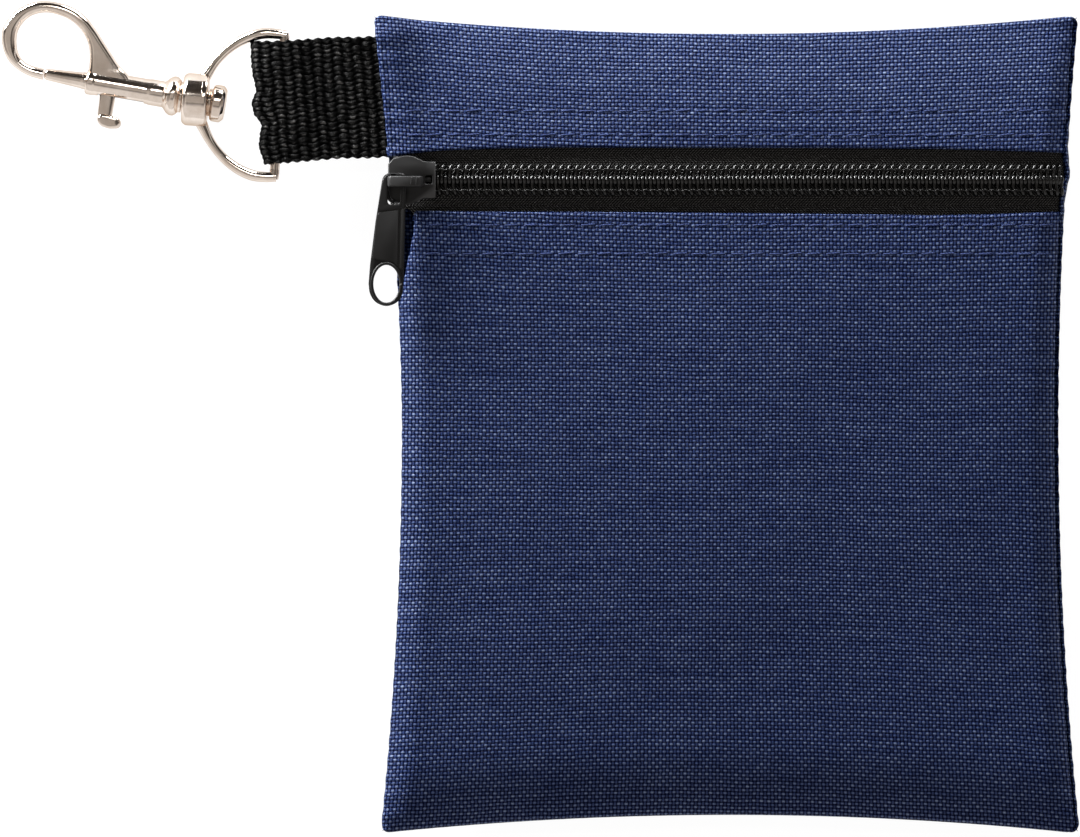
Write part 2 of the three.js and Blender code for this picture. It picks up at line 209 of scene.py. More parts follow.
def cloth_shell(name, p, uv, thickness, material, relief=None):
    """A closed thin sheet. p is a (rows, columns, 3) grid of its outer face; relief stands proud."""
    rows, columns = p.shape[:2]
    n = grid_normals(p)
    outer = p if relief is None else p + n * relief[..., None]
    inner = p - n * thickness
    verts = np.vstack([outer.reshape(-1, 3), inner.reshape(-1, 3)])
    count = rows * columns
    faces = grid_faces(rows, columns) + grid_faces(rows, columns, count, flip=True)
    ring = [*range(columns), *(r * columns + columns - 1 for r in range(1, rows)),
            *(count - 1 - c for c in range(1, columns)),
            *(r * columns for r in range(rows - 2, 0, -1))]
    for a, b in zip(ring, ring[1:] + ring[:1]):
        faces.append((b, a, a + count, b + count))
    flat = uv.reshape(-1, 2)
    return add_object(name, verts, faces, material, np.vstack([flat, flat]))


def tube_mesh(path, radius, sides=8, up=(0, 0, 1)):
    """Vertices and faces of a capped round tube along a path, radius a number or one per point."""
    path = np.asarray(path, float)
    tangent = np.gradient(path, axis=0)
    tangent /= np.linalg.norm(tangent, axis=1, keepdims=True)
    side = np.cross(tangent, np.array(up, float))
    small = np.linalg.norm(side, axis=1) < 1e-3
    side[small] = np.cross(tangent[small], (0.0, 1.0, 0.0))
    for i in range(1, len(side)):
        if np.dot(side[i], side[i - 1]) < 0:
            side[i] *= -1
    side /= np.linalg.norm(side, axis=1, keepdims=True)
    upward = np.cross(side, tangent)
    angle = 2 * np.pi * np.arange(sides) / sides
    radius = np.broadcast_to(radius, (len(path),))[:, None, None]
    ring = (np.cos(angle)[None, :, None] * side[:, None] + np.sin(angle)[None, :, None]
            * upward[:, None])
    verts = (path[:, None] + radius * ring).reshape(-1, 3)
    return verts, grid_faces(len(path), sides, wrap=True) + end_caps(sides, len(verts))


def gather(parts):
    """Joins (verts, faces) pairs into one."""
    verts, faces, start = [], [], 0
    for v, f in parts:
        verts.append(v)
        faces += [tuple(i + start for i in face) for face in f]
        start += len(v)
    return np.vstack(verts), faces


def turned_mesh(profile, segments, hollow=False):
    """Turned about the x axis from (x, radius) pairs. A hollow form's profile closes on itself."""
    if hollow:
        profile = np.vstack([profile, profile[:1]])
    angle = 2 * np.pi * np.arange(segments) / segments
    verts = [(x, r * math.cos(a), r * math.sin(a)) for x, r in profile for a in angle]
    faces = grid_faces(len(profile), segments, wrap=True)
    if not hollow:
        faces += end_caps(segments, len(verts))
    return np.array(verts), faces


def cut_corner(before, here, after, radius, share):
    """A curve round one corner, which uses up to radius, or a share of the shorter side."""
    a, b = before - here, after - here
    reach = min(radius, np.linalg.norm(a) / share, np.linalg.norm(b) / share)
    start = here + a / np.linalg.norm(a) * reach
    end = here + b / np.linalg.norm(b) * reach
    return [(1 - t) ** 2 * start + 2 * t * (1 - t) * here + t * t * end
            for t in np.linspace(0, 1, 5)]


def rounded_profile(points, radius):
    """Rounds the inner corners of an open (x, radius) profile."""
    points = [np.array(p, float) for p in points]
    out = [points[0]]
    for corner in zip(points, points[1:], points[2:]):
        out += cut_corner(*corner, radius, 2.1)
    return np.array([*out, points[-1]])


def rounded_loop(points, radius):
    """Rounds every corner of a closed outline."""
    points = [np.array(p, float) for p in points]
    out = []
    for corner in zip(points[-1:] + points[:-1], points, points[1:] + points[:1]):
        out += cut_corner(*corner, radius, 2.2)
    return np.array(out)


def ellipse(cx, cy, rx, ry, count=40):
    angle = 2 * np.pi * np.arange(count) / count
    return np.column_stack([cx + rx * np.cos(angle), cy + ry * np.sin(angle)])


def placed(verts, centre, angle):
    """Turns millimetre vertices about Z and moves them to a centre."""
    c, s = math.cos(angle), math.sin(angle)
    turn = np.array([[c, -s, 0], [s, c, 0], [0, 0, 1]])
    return np.asarray(verts) @ turn.T + np.asarray(centre)


def apply_modifiers(obj):
    """Puts the modifiers' result in place of the mesh."""
    depsgraph = bpy.context.evaluated_depsgraph_get()
    mesh = bpy.data.meshes.new_from_object(obj.evaluated_get(depsgraph))
    old = obj.data
    obj.modifiers.clear()
    obj.data = mesh
    bpy.data.meshes.remove(old)


def plate(name, loops, low, high, bevel, material):
    """A flat plate with holes: loops are outlines in plan, the first one the outer edge."""
    flat = [np.array(loop, float)[:, :2] for loop in loops]
    points = np.vstack(flat)
    triangles = geometry.tessellate_polygon([[Vector((x, y, 0)) for x, y in loop]
                                             for loop in flat])
    count = len(points)
    verts = np.vstack([np.column_stack([points, np.full(count, z)]) for z in (low, high)])
    faces = []
    for a, b, c in triangles:
        (ax, ay), (bx, by), (cx, cy) = points[a], points[b], points[c]
        if (bx - ax) * (cy - ay) - (by - ay) * (cx - ax) < 0:
            b, c = c, b
        faces += [(a + count, b + count, c + count), (c, b, a)]
    start = 0
    for loop in flat:
        size = len(loop)
        for i in range(size):
            a, b = start + i, start + (i + 1) % size
            faces.append((a, b, b + count, a + count))
        start += size
    obj = add_object(name, verts, faces, material)
    work = bmesh.new()
    work.from_mesh(obj.data)
    bmesh.ops.recalc_face_normals(work, faces=work.faces)
    bmesh.ops.dissolve_limit(work, angle_limit=0.01, verts=work.verts, edges=work.edges)
    work.to_mesh(obj.data)
    work.free()
    if bevel:
        modifier = obj.modifiers.new("edge", "BEVEL")
        modifier.width = bevel * MM
        modifier.segments = 3
        modifier.limit_method = "ANGLE"
        modifier.angle_limit = math.radians(50)
        modifier.use_clamp_overlap = False
        apply_modifiers(obj)
    shade_smooth(obj.data, 35)
    return obj


def join_objects(name, objects):
    """Joins mesh objects into the first one."""
    bpy.ops.object.select_all(action="DESELECT")
    for obj in objects:
        obj.select_set(True)
    bpy.context.view_layer.objects.active = objects[0]
    bpy.ops.object.join()
    objects[0].name = name
    return objects[0]


def move_vertices(obj, change):
    """Runs change over the mesh's millimetre vertices."""
    count = len(obj.data.vertices)
    flat = np.zeros(count * 3, np.float32)
    obj.data.vertices.foreach_get("co", flat)
    moved = change(flat.reshape(-1, 3) / MM) * MM
    obj.data.vertices.foreach_set("co", np.asarray(moved, np.float32).ravel())
    obj.data.update()


# ---------------------------------------------------------------- materials
def step(operation):
    """A method that adds one math node to the tree of its first value."""
    return lambda *values: values[0].nodes.math(operation, *values)


class Value:
    """A node's output that arithmetic works on."""

    __add__, __sub__, __mul__ = step("ADD"), step("SUBTRACT"), step("MULTIPLY")
    __truediv__, __pow__, __abs__ = step("DIVIDE"), step("POWER"), step("ABSOLUTE")

    def __init__(self, nodes, socket):
        self.nodes = nodes
        self.socket = socket


class Nodes:
    """Short names for building the node tree of a material or a world."""

    def __init__(self, owner, shader="Principled BSDF"):
        owner.use_nodes = True
        self.owner = owner
        self.tree = owner.node_tree
        self.shader = self.tree.nodes[shader]

    def put(self, value, socket):
        """Links a value to a socket, or sets a constant on it."""
        if isinstance(value, Value):
            self.tree.links.new(value.socket, socket)
        else:
            socket.default_value = value

    def node(self, kind, output, inputs=(), **settings):
        """Adds a node with its settings and inputs, and gives one of its outputs."""
        node = self.tree.nodes.new(kind)
        for key, value in settings.items():
            setattr(node, key, value)
        for key, value in dict(inputs).items():
            self.put(value, node.inputs[key])
        return Value(self, node.outputs[output])

    def math(self, operation, *values, clamp=False):
        return self.node("ShaderNodeMath", 0, enumerate(values), operation=operation,
                         use_clamp=clamp)

    def noise(self, vector, scale, detail=2.0, roughness=0.5):
        return self.node("ShaderNodeTexNoise", "Fac", {
            "Vector": vector, "Scale": scale, "Detail": detail, "Roughness": roughness})

    def scaled(self, vector, scale):
        return self.node("ShaderNodeMapping", "Vector", {"Vector": vector, "Scale": scale})

    def ramp(self, value, stops):
        colour = self.node("ShaderNodeValToRGB", "Color", {"Fac": value})
        elements = colour.socket.node.color_ramp.elements
        while len(elements) < len(stops):
            elements.new(0.5)
        for element, (position, tone) in zip(elements, stops):
            element.position = position
            element.color = (*tone, 1)
        return colour

    def mix(self, factor, a, b, data_type="RGBA", blend_type="MIX"):
        """A mix node keeps a pair of inputs and an output for each type of data."""
        first, output = {"FLOAT": (2, 0), "RGBA": (6, 2)}[data_type]
        return self.node("ShaderNodeMix", output, {"Factor": factor, first: a, first + 1: b},
                         data_type=data_type, blend_type=blend_type)

    def bump(self, height, distance, strength=1.0):
        self.set(Normal=self.node("ShaderNodeBump", "Normal", {
            "Strength": strength, "Distance": distance, "Height": height}))

    def uv(self):
        return self.node("ShaderNodeUVMap", "UV", uv_map="cloth_mm")

    def place(self):
        return self.node("ShaderNodeTexCoord", "Object")

    def split(self, vector):
        x = self.node("ShaderNodeSeparateXYZ", 0, {0: vector})
        return [Value(self, socket) for socket in x.socket.node.outputs]

    def set(self, **values):
        """Sets the shader's own sockets, whose names have spaces for underscores."""
        for key, value in values.items():
            self.put(value, self.shader.inputs[key.replace("_", " ")])


def new_material(name):
    return Nodes(bpy.data.materials.new(name))


def grey(level):
    return (level, level, level)


def plain_weave(n, coordinates, pitch_x, pitch_y, wobble, fineness, dip):
    """Yarns of a plain weave over millimetre coordinates, which run over and under in turn.

    Gives the surface height up to 1.5, a mask of where the yarn along x is on top, and a random
    value for each crossing. Yarns are thinner where fineness is greater, and dive deeper
    between crossings where dip is.
    """
    shift = (n.noise(coordinates, 0.16, 3) - 0.5) * wobble
    x, y, _ = n.split(coordinates)
    u = x * (math.pi / pitch_x) + shift
    v = y * (math.pi / pitch_y) - shift
    sin_u, sin_v = n.math("SINE", u), n.math("SINE", v)
    side = n.math("SIGN", sin_u) * n.math("SIGN", sin_v)
    blunt = 0.6                      # exponent that flattens the crown of each yarn
    weft = n.math("MULTIPLY_ADD", abs(sin_u) ** blunt * side, dip, abs(sin_v) ** fineness)
    warp = n.math("MULTIPLY_ADD", abs(sin_v) ** blunt * side, -dip, abs(sin_u) ** fineness)
    weft, warp = weft - (dip - 0.5), warp - (dip - 0.5)
    mask = n.math("ADD", (weft - warp) * 2.5, 0.5, clamp=True)
    cell = n.node("ShaderNodeCombineXYZ", 0, enumerate(
        n.math("FLOOR", phase / math.pi) for phase in (u, v)))
    chance = n.node("ShaderNodeTexWhiteNoise", "Value", {"Vector": cell}, noise_dimensions="2D")
    return n.math("MAXIMUM", weft, warp), mask, chance


def cloth_material(name, gap, warp_tone, weft_highlight):
    """Coated plain-weave polyester: pale weft dashes as painted highlight, blue warp crowns, and
    nearly black gaps as painted shade.
    """
    n = new_material(name)
    uv = n.uv()
    height, mask, chance = plain_weave(n, uv, *WEAVE, 2.2, 0.95, 0.62)
    fibre = n.noise(n.scaled(uv, (0.7, 6.0, 1)), 1.0, 2, 0.6)
    yarn = n.noise(n.scaled(uv, (0.05, 1.3, 1)), 1.0, 2)
    vary = chance * 0.15 + fibre * 0.55 + (yarn * 0.45 + 0.38)
    level = height * vary * 0.62
    between = tuple((2 * a + b) / 3 for a, b in zip(warp_tone, weft_highlight))
    # Colour rises with yarn height: the gap tone is painted shade and the weft's top tone a painted
    # highlight.
    weft = n.ramp(level, [(0.42, gap), (0.6, warp_tone), (0.8, between), (1.0, weft_highlight)])
    warp = n.ramp(level, [(0.46, gap), (0.88, warp_tone)])
    n.set(Base_Color=n.mix(mask, warp, weft), Roughness=fibre * 0.2 + 0.3,
          Specular_IOR_Level=level ** 2 * 0.26)
    n.bump(height + fibre * 0.3, 0.00014)
    return n.owner


def thread_material(name, dark, light):
    """Twisted thread: fine slanted strands along each stitch."""
    n = new_material(name)
    place = n.place()
    x, y, _ = n.split(place)
    strand = n.math("SINE", (x + y * 1.6) * 9000.0)
    twist = strand * 0.25 + n.noise(place, 2500, 3)
    n.set(Base_Color=n.ramp(twist, [(0.25, dark), (0.8, light)]), Roughness=0.55,
          Specular_IOR_Level=0.12)
    n.bump(twist, 0.00006, 0.6)
    return n.owner


def tape_material(name):
    """Black zip tape: fine herringbone ribs, their crowns painted lighter and troughs darker as
    painted light and shade, over a random grain.
    """
    n = new_material(name)
    uv = n.uv()
    x, y, _ = n.split(uv)
    zigzag = n.math("PINGPONG", y, 1.7)
    ribs = n.math("SINE", (x + zigzag) * (2 * math.pi / 0.62))
    cross = n.math("SINE", y * (2 * math.pi / 0.45))
    grain = n.noise(uv, 2.4, 3, 0.7)
    height = ribs * 0.35 + cross * 0.2
    # Rib crowns are painted lighter and troughs darker, painted light and shade over a random grain
    # tone.
    light = height * 0.5 + 0.5 + (grain - 0.5) * 0.8
    n.set(Base_Color=n.ramp(light, [(0.3, grey(0.001)), (0.55, (0.018, 0.018, 0.0177)),
                                    (0.95, (0.14, 0.137, 0.134))]),
          Roughness=0.6, Specular_IOR_Level=0.07)
    n.bump(height + grain * 1.2, 0.00026)
    return n.owner


WEB_CELL = 4.1, 1.96             # webbing's repeat along its length and across it
WEB_SWAY = 0.24                  # its rows step up and down between columns by this much


def webbing_material(name):
    """Coarse black webbing: painted highlight dashes on the crowns of each yarn, standing in for
    the sheen of its glossy filaments, with painted shade between.
    """
    n = new_material(name)
    uv = n.uv()
    x, y, _ = n.split(uv)
    turns = 2 * math.pi / WEB_CELL[0]
    loose = n.noise(uv, 1.1, 2)
    shift = n.math("SINE", x * turns) * WEB_SWAY + loose * 0.55
    bent = n.node("ShaderNodeCombineXYZ", 0, {0: x, 1: y + shift})
    height, mask, chance = plain_weave(n, bent, WEB_CELL[0] / 2, WEB_CELL[1] / 2, 2.6, 1.7, 0.9)
    short = abs(n.math("SINE", (x + loose * 0.5) * turns)) ** 1.4
    filament = n.noise(n.scaled(uv, (1.3, 3.4, 1)), 1.0, 3, 0.7)
    twisted = n.noise(n.scaled(uv, (5.0, 1.4, 1)), 1.0, 3, 0.7)
    # Crowns are painted lighter, a painted highlight, and the low parts darker, painted shade.
    crown = n.math("MAXIMUM", height, 0) ** 2.4 * 0.8 * short
    lit = crown * filament * (chance + 0.5)
    dim = height * twisted * 0.7
    level = n.mix(mask, dim, lit, "FLOAT")
    n.set(Base_Color=n.ramp(level, [(0.3, grey(0.0008)), (0.5, (0.008, 0.008, 0.0078)),
                                    (1.0, (0.072, 0.07, 0.068))]),
          Roughness=filament * 0.35 + 0.25, Specular_IOR_Level=level * 0.16)
    n.bump(filament * 0.9 + height, 0.00026)
    return n.owner


def plastic_material(name, dark, light, roughness):
    """Smooth glossy filament with a faintly uneven surface."""
    n = new_material(name)
    grain = n.noise(n.place(), 1800, 3)
    n.set(Base_Color=n.ramp(grain, [(0.3, dark), (0.75, light)]),
          Roughness=grain * 0.16 + roughness, Specular_IOR_Level=0.4)
    n.bump(grain, 0.00002, 0.3)
    return n.owner


def enamel_material(name):
    """Satin black enamel with fine orange peel, and a painted highlight that makes its sharp edges
    lighter.
    """
    n = new_material(name)
    place = n.place()
    peel = n.noise(place, 900, 3)
    # Sharp edges are painted lighter, a painted highlight along the bevels.
    edge_highlight_mask = n.node("ShaderNodeNewGeometry", "Pointiness")
    edge_highlight = n.ramp(edge_highlight_mask, [(0.52, (0.0034, 0.0034, 0.0036)), (0.64, (0.045, 0.045, 0.046))])
    tint = n.ramp(n.noise(place, 160, 3), [(0.3, grey(0.75)), (0.7, grey(1.15))])
    n.set(Base_Color=n.mix(1.0, edge_highlight, tint, blend_type="MULTIPLY"),
          Roughness=peel * 0.12 + 0.33, Specular_IOR_Level=0.26)
    n.bump(peel, 0.00002, 0.35)
    return n.owner


def nickel_material(name, low, high, roughness):
    """Polished plate over a cast surface: soft ripples, warm tone and fine scratches."""
    n = new_material(name)
    place = n.place()
    cast = n.noise(place, 260, 3)
    scratch = n.noise(n.scaled(place, (400, 2600, 2600)), 1.0, 2, 0.6)
    n.set(Base_Color=n.ramp(cast, [(0.3, low), (0.7, high)]), Roughness=scratch * 0.1 + roughness,
          Metallic=1.0, Specular_Tint=(*low, 1))
    n.bump(cast + scratch * 0.15, 0.0001, 0.25)
    return n.owner


WEAVE = 0.745, 0.777              # the cloth's yarn pitches along x and y
# Its first tone is painted shade in the gaps and its last a painted highlight on the weft crowns.
NAVY = cloth_material("navy_cloth", (0.0004, 0.0018, 0.0155), (0.0132, 0.0285, 0.104),
                      (0.148, 0.19, 0.293))
NAVY_THREAD = thread_material("navy_thread", (0.009, 0.016, 0.058), (0.03, 0.047, 0.13))
TAPE = tape_material("zip_tape")
COIL = plastic_material("zip_coil", grey(0.0008), grey(0.0025), 0.13)
WEBBING = webbing_material("black_webbing")
ENAMEL = enamel_material("black_enamel")
NICKEL = nickel_material("bright_nickel", (0.70, 0.60, 0.52), (0.86, 0.775, 0.70), 0.07)
STEEL = nickel_material("spring_steel", grey(0.42), grey(0.6), 0.25)


# ---------------------------------------------------------------- the pouch's form
# In plan a point has y, and s from -1 at the left seam to 1 at the right one.
def half_width(y):
    """From the middle to a side seam."""
    return HALF_WIDTH - SIDE_PULL * (1 - (y / HALF_HEIGHT) ** 2)


def end_at(s):
    """From the middle to the top or bottom edge."""
    return HALF_HEIGHT - END_PULL * (1 - np.clip(s, -1, 1) ** 2)


def lean(s, y):
    """How far the tab pulls the upper left of the pouch out."""
    return LEFT_LEAN * np.minimum(s, 0) * (np.maximum(y, 0) / HALF_HEIGHT) ** 1.2


def plan_x(s, y):
    return s * half_width(y) + lean(s, y)


def tab_window(s, y):
    """1 where the webbing's ends lie in the left seam, and 0 elsewhere."""
    low, full, stays, high = TAB_SPAN
    return np.where(s < 0, smoothstep(y, low, full) * (1 - smoothstep(y, stays, high)), 0)


def mouth_edge(x, upper):
    """The folded edges of the zip's mouth close in a little towards the side seams."""
    if upper:
        return UPPER_EDGE - 0.1 + np.interp(x, *np.array([
            (-70, -2.0), (-65.4, -1.2), (-58, -0.45), (-48, -0.1), (-34, 0.15), (20, 0.0),
            (42, -0.15), (55, -0.5), (68, -0.85)]).T)
    return LOWER_EDGE + np.interp(x, *np.array([
        (-70, 0.35), (-55, 0.1), (-20, 0.0), (30, -0.45), (42, -0.65), (55, -0.4), (68, 0.1)]).T)


def drop(s, y):
    """How far the top seam and the cloth near it lie below the level of the other seams."""
    return TOP_DROP * np.clip((y - DROP_START) / DROP_LENGTH, 0, 1) * smoothstep(s, -1.0, -0.88)


def slack(x, y):
    """Soft unevenness of the cloth where nothing holds it flat."""
    return 0.4 * field(x, y, 38, 3.7) + 0.1 * field(x, y, 13, 8.1)


def pucker(along, inset, seed):
    """Small gathers beside a seam: along it and by distance in from it."""
    wave = np.sin(2 * np.pi * along / STITCH_PITCH + 1.6 * np.sin(along / 9 + seed))
    return 0.16 * wave * np.exp(-inset / 2.6)


def front_height(s, y):
    """Height of the front's outer face, without its turned rims."""
    width = half_width(y)
    from_side = (1 - np.abs(s)) * width
    from_end = end_at(s) - np.abs(y)
    lower = y < ZIP_Y
    rise = shoulder(from_side, 5.5) * shoulder(from_end, np.where(lower, 15, 26))
    base = np.where(lower, LOWER_EDGE, UPPER_EDGE)
    rim = np.where(lower, -end_at(s), end_at(s))
    crown = np.where(lower, LOWER_CROWN, TOP_CROWN)
    along = np.clip((y - rim) / (base - rim), 0, 1)
    bulge = crown * 4 * along * (1 - along) * np.clip(1 - s * s, 0, 1)
    parting = TAB_PARTING * tab_window(s, y) * (1 - rise) * (1 - smoothstep(from_side, 5, 16))
    x = plan_x(s, y)
    free = np.clip(along * (1 - along) * 5, 0, 1) * shoulder(from_side, 12)
    return (FRONT_RIM - drop(s, y) + BAND_RISE * rise + bulge + parting + slack(x, y) * free
            + pucker(y, from_side, 0.4) + pucker(x, from_end, 2.1) * 0.5)


def back_height(s, y):
    """Height of the back's outer face, which lies flat on the table at its middle."""
    from_side = (1 - np.abs(s)) * half_width(y)
    from_end = end_at(s) - np.abs(y)
    lift = 1 - shoulder(from_side, 15) * shoulder(from_end, 15)
    parting = TAB_PARTING * tab_window(s, y) * (1 - smoothstep(from_side, 5, 16))
    low = (BACK_RIM - parting - drop(s, y)) * lift
    gathers = pucker(y, from_side, 1.9) + pucker(plan_x(s, y), from_end, 0.7)
    return low + TABLE_GAP + gathers * lift


def round_corners(x, y, s, edge_x, edge_y):
    """Draws the plan's corners in to a small radius."""
    p = np.clip((CORNER_RADIUS - (edge_x - np.abs(x))) / CORNER_RADIUS, 0, 1.3)
    q = np.clip((CORNER_RADIUS - (edge_y - np.abs(y))) / CORNER_RADIUS, 0, 1.3)
    near = (p > 0) & (q > 0)
    dx = CORNER_RADIUS * (p - p * np.sqrt(np.clip(1 - q * q / 2, 0, 1)))
    dy = CORNER_RADIUS * (q - q * np.sqrt(np.clip(1 - p * p / 2, 0, 1)))
    return np.where(near, x - np.sign(x) * dx, x), np.where(near, y - np.sign(y) * dy, y)


CORNER_DRAW = 4.8                # the lower front's corner under the slider is drawn in
TURN = 0.85                      # radius of the turned edge at a seam
TURN_END = math.radians(112)
FOLD = 0.42                      # radius of the folded edges along the zip


def spread(low, high, count, crowd=0.0):
    """Even steps from low to high, drawn towards both ends by crowd."""
    t = np.linspace(-1, 1, count)
    t = (1 - crowd) * t + crowd * np.sin(t * np.pi / 2)
    return (low + high) / 2 + (high - low) / 2 * t


def corner_draw(s, y):
    """How far the lower front's edge lies in from the seam, beside the slider."""
    return CORNER_DRAW * (s < 0) * (y < ZIP_Y) * smoothstep(y, 20, 46)


def panel_grid(columns, y_at, rows, ends, height, sign, beyond):
    """Outer-face points and cloth coordinates of one panel.

    y_at(v, s) gives y for v from 0 to 1, and rows are the values of v. ends names what the low
    and the high end have: a "rim" turns in at a seam and a "fold" turns under at the zip. sign is
    +1 where the panel faces up, and beyond widens it at the right side seam.
    """
    turn = np.linspace(0, TURN_END, 7)[1:]
    s_list = [*((-1, a) for a in turn[::-1]), *((s, 0.0) for s in spread(-1, 1, columns, 0.5)),
              *((1, a) for a in turn)]
    edge = {"rim": [(a, "rim") for a in turn],
            "fold": [(a, "fold") for a in np.linspace(0, math.pi, 7)[1:]] + [(math.pi, "under")]}
    v_list = [*((0, *step) for step in edge[ends[0]][::-1]), *((v, 0.0, "flat") for v in rows),
              *((1, *step) for step in edge[ends[1]])]
    s, v = np.meshgrid([c[0] for c in s_list], [r[0] for r in v_list])
    a_x, a_y = np.meshgrid([c[1] for c in s_list], [r[1] for r in v_list])
    kind = np.array([[r[2] for r in v_list]] * len(s_list)).T
    size = {"rim": TURN, "fold": FOLD}
    rim_y = kind == "rim"
    radius_y = np.where(rim_y, TURN, np.where(kind == "flat", 0, FOLD))
    # Points lie short of a turned edge by its radius, and the turn adds its sine back.
    y = y_at(v, s)
    end_sign = np.where(v > 0.5, 1, -1)
    tucked = np.where(v > 0.5, size[ends[1]], size[ends[0]])
    near_end = smoothstep(np.abs(v - 0.5), 0.42, 0.5)
    y = y - end_sign * tucked * near_end + end_sign * radius_y * np.sin(a_y)
    y = y - end_sign * np.where(kind == "under", HEM, 0)
    width = half_width(y) + lean(np.sign(s), y) * np.sign(s) + np.where(s > 0, beyond, 0.4)
    width = width + (s > 0) * bulge_at(y)
    if sign > 0:
        width = width - corner_draw(s, y) - 0.45 * (s < 0) * np.exp(-((y - 52.5) / 2.5) ** 2)
    width = width + 0.07 * np.sin(2 * np.pi * y / STITCH_PITCH + s) * (np.abs(s) > 0.999)
    x = s * (width - TURN) + np.sign(s) * TURN * np.sin(a_x)
    x, y = round_corners(x, y, s, width, end_at(s))
    z = height(np.clip(x / (half_width(y) + 0.01), -1, 1), np.clip(y, -end_at(s), end_at(s)))
    side_turn, end_turn = TURN * (1 - np.cos(a_x)), radius_y * (1 - np.cos(a_y))
    z = z - sign * np.where(rim_y, np.maximum(side_turn, end_turn), side_turn + end_turn)
    points = np.dstack([x, y, z])
    cloth_u = x + np.sign(s) * TURN * (a_x - np.sin(a_x))
    cloth_v = y + end_sign * radius_y * (a_y - np.sin(a_y))
    return points, np.dstack([cloth_u, cloth_v])


def stitch_dimples(points, rows):
    """Presses the cloth down along its topstitching, deepest at each needle hole."""
    x, y = points[..., 0], points[..., 1]
    for row in rows:
        across = np.exp(-((y - row) / 0.55) ** 2)
        hole = 0.5 + 0.5 * np.cos(2 * np.pi * x / STITCH_PITCH)
        points[..., 2] += (-0.04 - 0.06 * hole ** 3) * across
    return points


def weave_warp(uv):
    """Straight-cut cloth keeps its grain along the edges, so it bows where they draw in."""
    u, v = uv[..., 0], uv[..., 1]
    s = np.clip(u / half_width(v), -1, 1)
    along = u * (0.15 + 0.85 * HALF_WIDTH / half_width(v))
    up = v * (0.15 + 0.85 * HALF_HEIGHT / end_at(s))
    return np.dstack([along + 0.3 * field(u, v, 30, 5.0), up + 0.3 * field(u, v, 26, 9.0)
                      + 0.012 * u])


def back_y(v, s):
    return (2 * v - 1) * end_at(s)


def lower_y(v, s):
    return -end_at(s) + v * (mouth_edge(s * MOUTH_HALF, False) + end_at(s))


def top_y(v, s):
    return mouth_edge(s * MOUTH_HALF, True) * (1 - v) + end_at(s) * v


def make_side_lip():
    """At the zip's right end the back's turned edge stands up past the mouth."""
    y = np.linspace(LOWER_EDGE - 5, UPPER_EDGE + 5, 60)
    centre = half_width(y) + 0.05 + bulge_at(y) + 0.06 * np.sin(2 * np.pi * y / STITCH_PITCH)
    open_part = smoothstep(y, LOWER_EDGE - 4, LOWER_EDGE) * (1 - smoothstep(
        y, UPPER_EDGE, UPPER_EDGE + 4))
    angle = np.linspace(-0.55 * np.pi, 0.95 * np.pi, 13)
    size = 0.22 + 0.1 * open_part
    rim = np.dstack([centre[:, None] + size[:, None] * (np.cos(angle) - 0.6),
                     np.repeat(y[:, None], len(angle), 1),
                     SEAM_Z + (0.5 + 0.55 * open_part)[:, None] * np.sin(angle)])
    uv = np.dstack([centre[:, None] + 0.7 * angle, rim[..., 1]])
    return cloth_shell("side_lip", rim, weave_warp(uv), 0.12, NAVY)


FRONTS = [                       # sheet, CAD node, its y, number of rows, ends and stitches
    ("lower_front_sheet", "front_lower_panel", lower_y, 150, ("rim", "fold"), "topstitch_lower"),
    ("top_front_sheet", "front_top_panel", top_y, 46, ("fold", "rim"), "topstitch_upper")]


def make_panels():
    """Back, lower front and top front panels."""
    points, uv = panel_grid(110, back_y, spread(0, 1, 130, 0.4), ("rim", "rim"), back_height, -1,
                            0.45)
    # The back faces down, so its columns run the other way.
    back = cloth_shell("back_sheet", points[:, ::-1], weave_warp(uv)[:, ::-1], CLOTH, NAVY)
    back = join_objects("back_sheet", [back, make_side_lip()])
    settle(back, "pouch", "back_panel")
    for name, node, y_at, count, ends, stitches in FRONTS:
        points, uv = panel_grid(130, y_at, spread(0, 1, count, 0.3), ends, front_height, 1, -0.4)
        points = stitch_dimples(points, [STITCH_ROWS[stitches + row] for row in ("_near", "_far")])
        sheet = cloth_shell(name, points, weave_warp(uv), CLOTH, NAVY)
        settle(sheet, "pouch", node)


def make_stitches():
    """One lockstitched row for each topstitch node. A stitch dives into the cloth at its ends."""
    for number, (node, row) in enumerate(STITCH_ROWS.items()):
        parts = []
        right = half_width(row) - 1.2
        left = corner_draw(-1, row) - right
        count = int((right - left) / STITCH_PITCH)
        for i in range(count):
            x = (left + right) / 2 + (i + 0.5 - count / 2) * STITCH_PITCH
            jitter = noise.noise((i * 0.71, number * 3.3, 0.5))
            slant = 0.1 + 0.12 * jitter
            t = np.linspace(-1, 1, 9)
            xs = x + t * (STITCH_PITCH / 2 - 0.22)
            ys = row + slant * t + 0.12 * jitter
            sunk = 0.28 + 0.08 * noise.noise((i * 1.37, number * 5.1, 2.5))
            zs = front_height(xs / half_width(row), ys) - sunk + 0.22 * (1 - t ** 4) - 0.3 * t ** 8
            parts.append(tube_mesh(np.column_stack([xs, ys, zs]), 0.2 * (1 - 0.4 * t ** 6)))
        piece = add_object(node + "_thread", *gather(parts), NAVY_THREAD)
        settle(piece, "pouch", node)


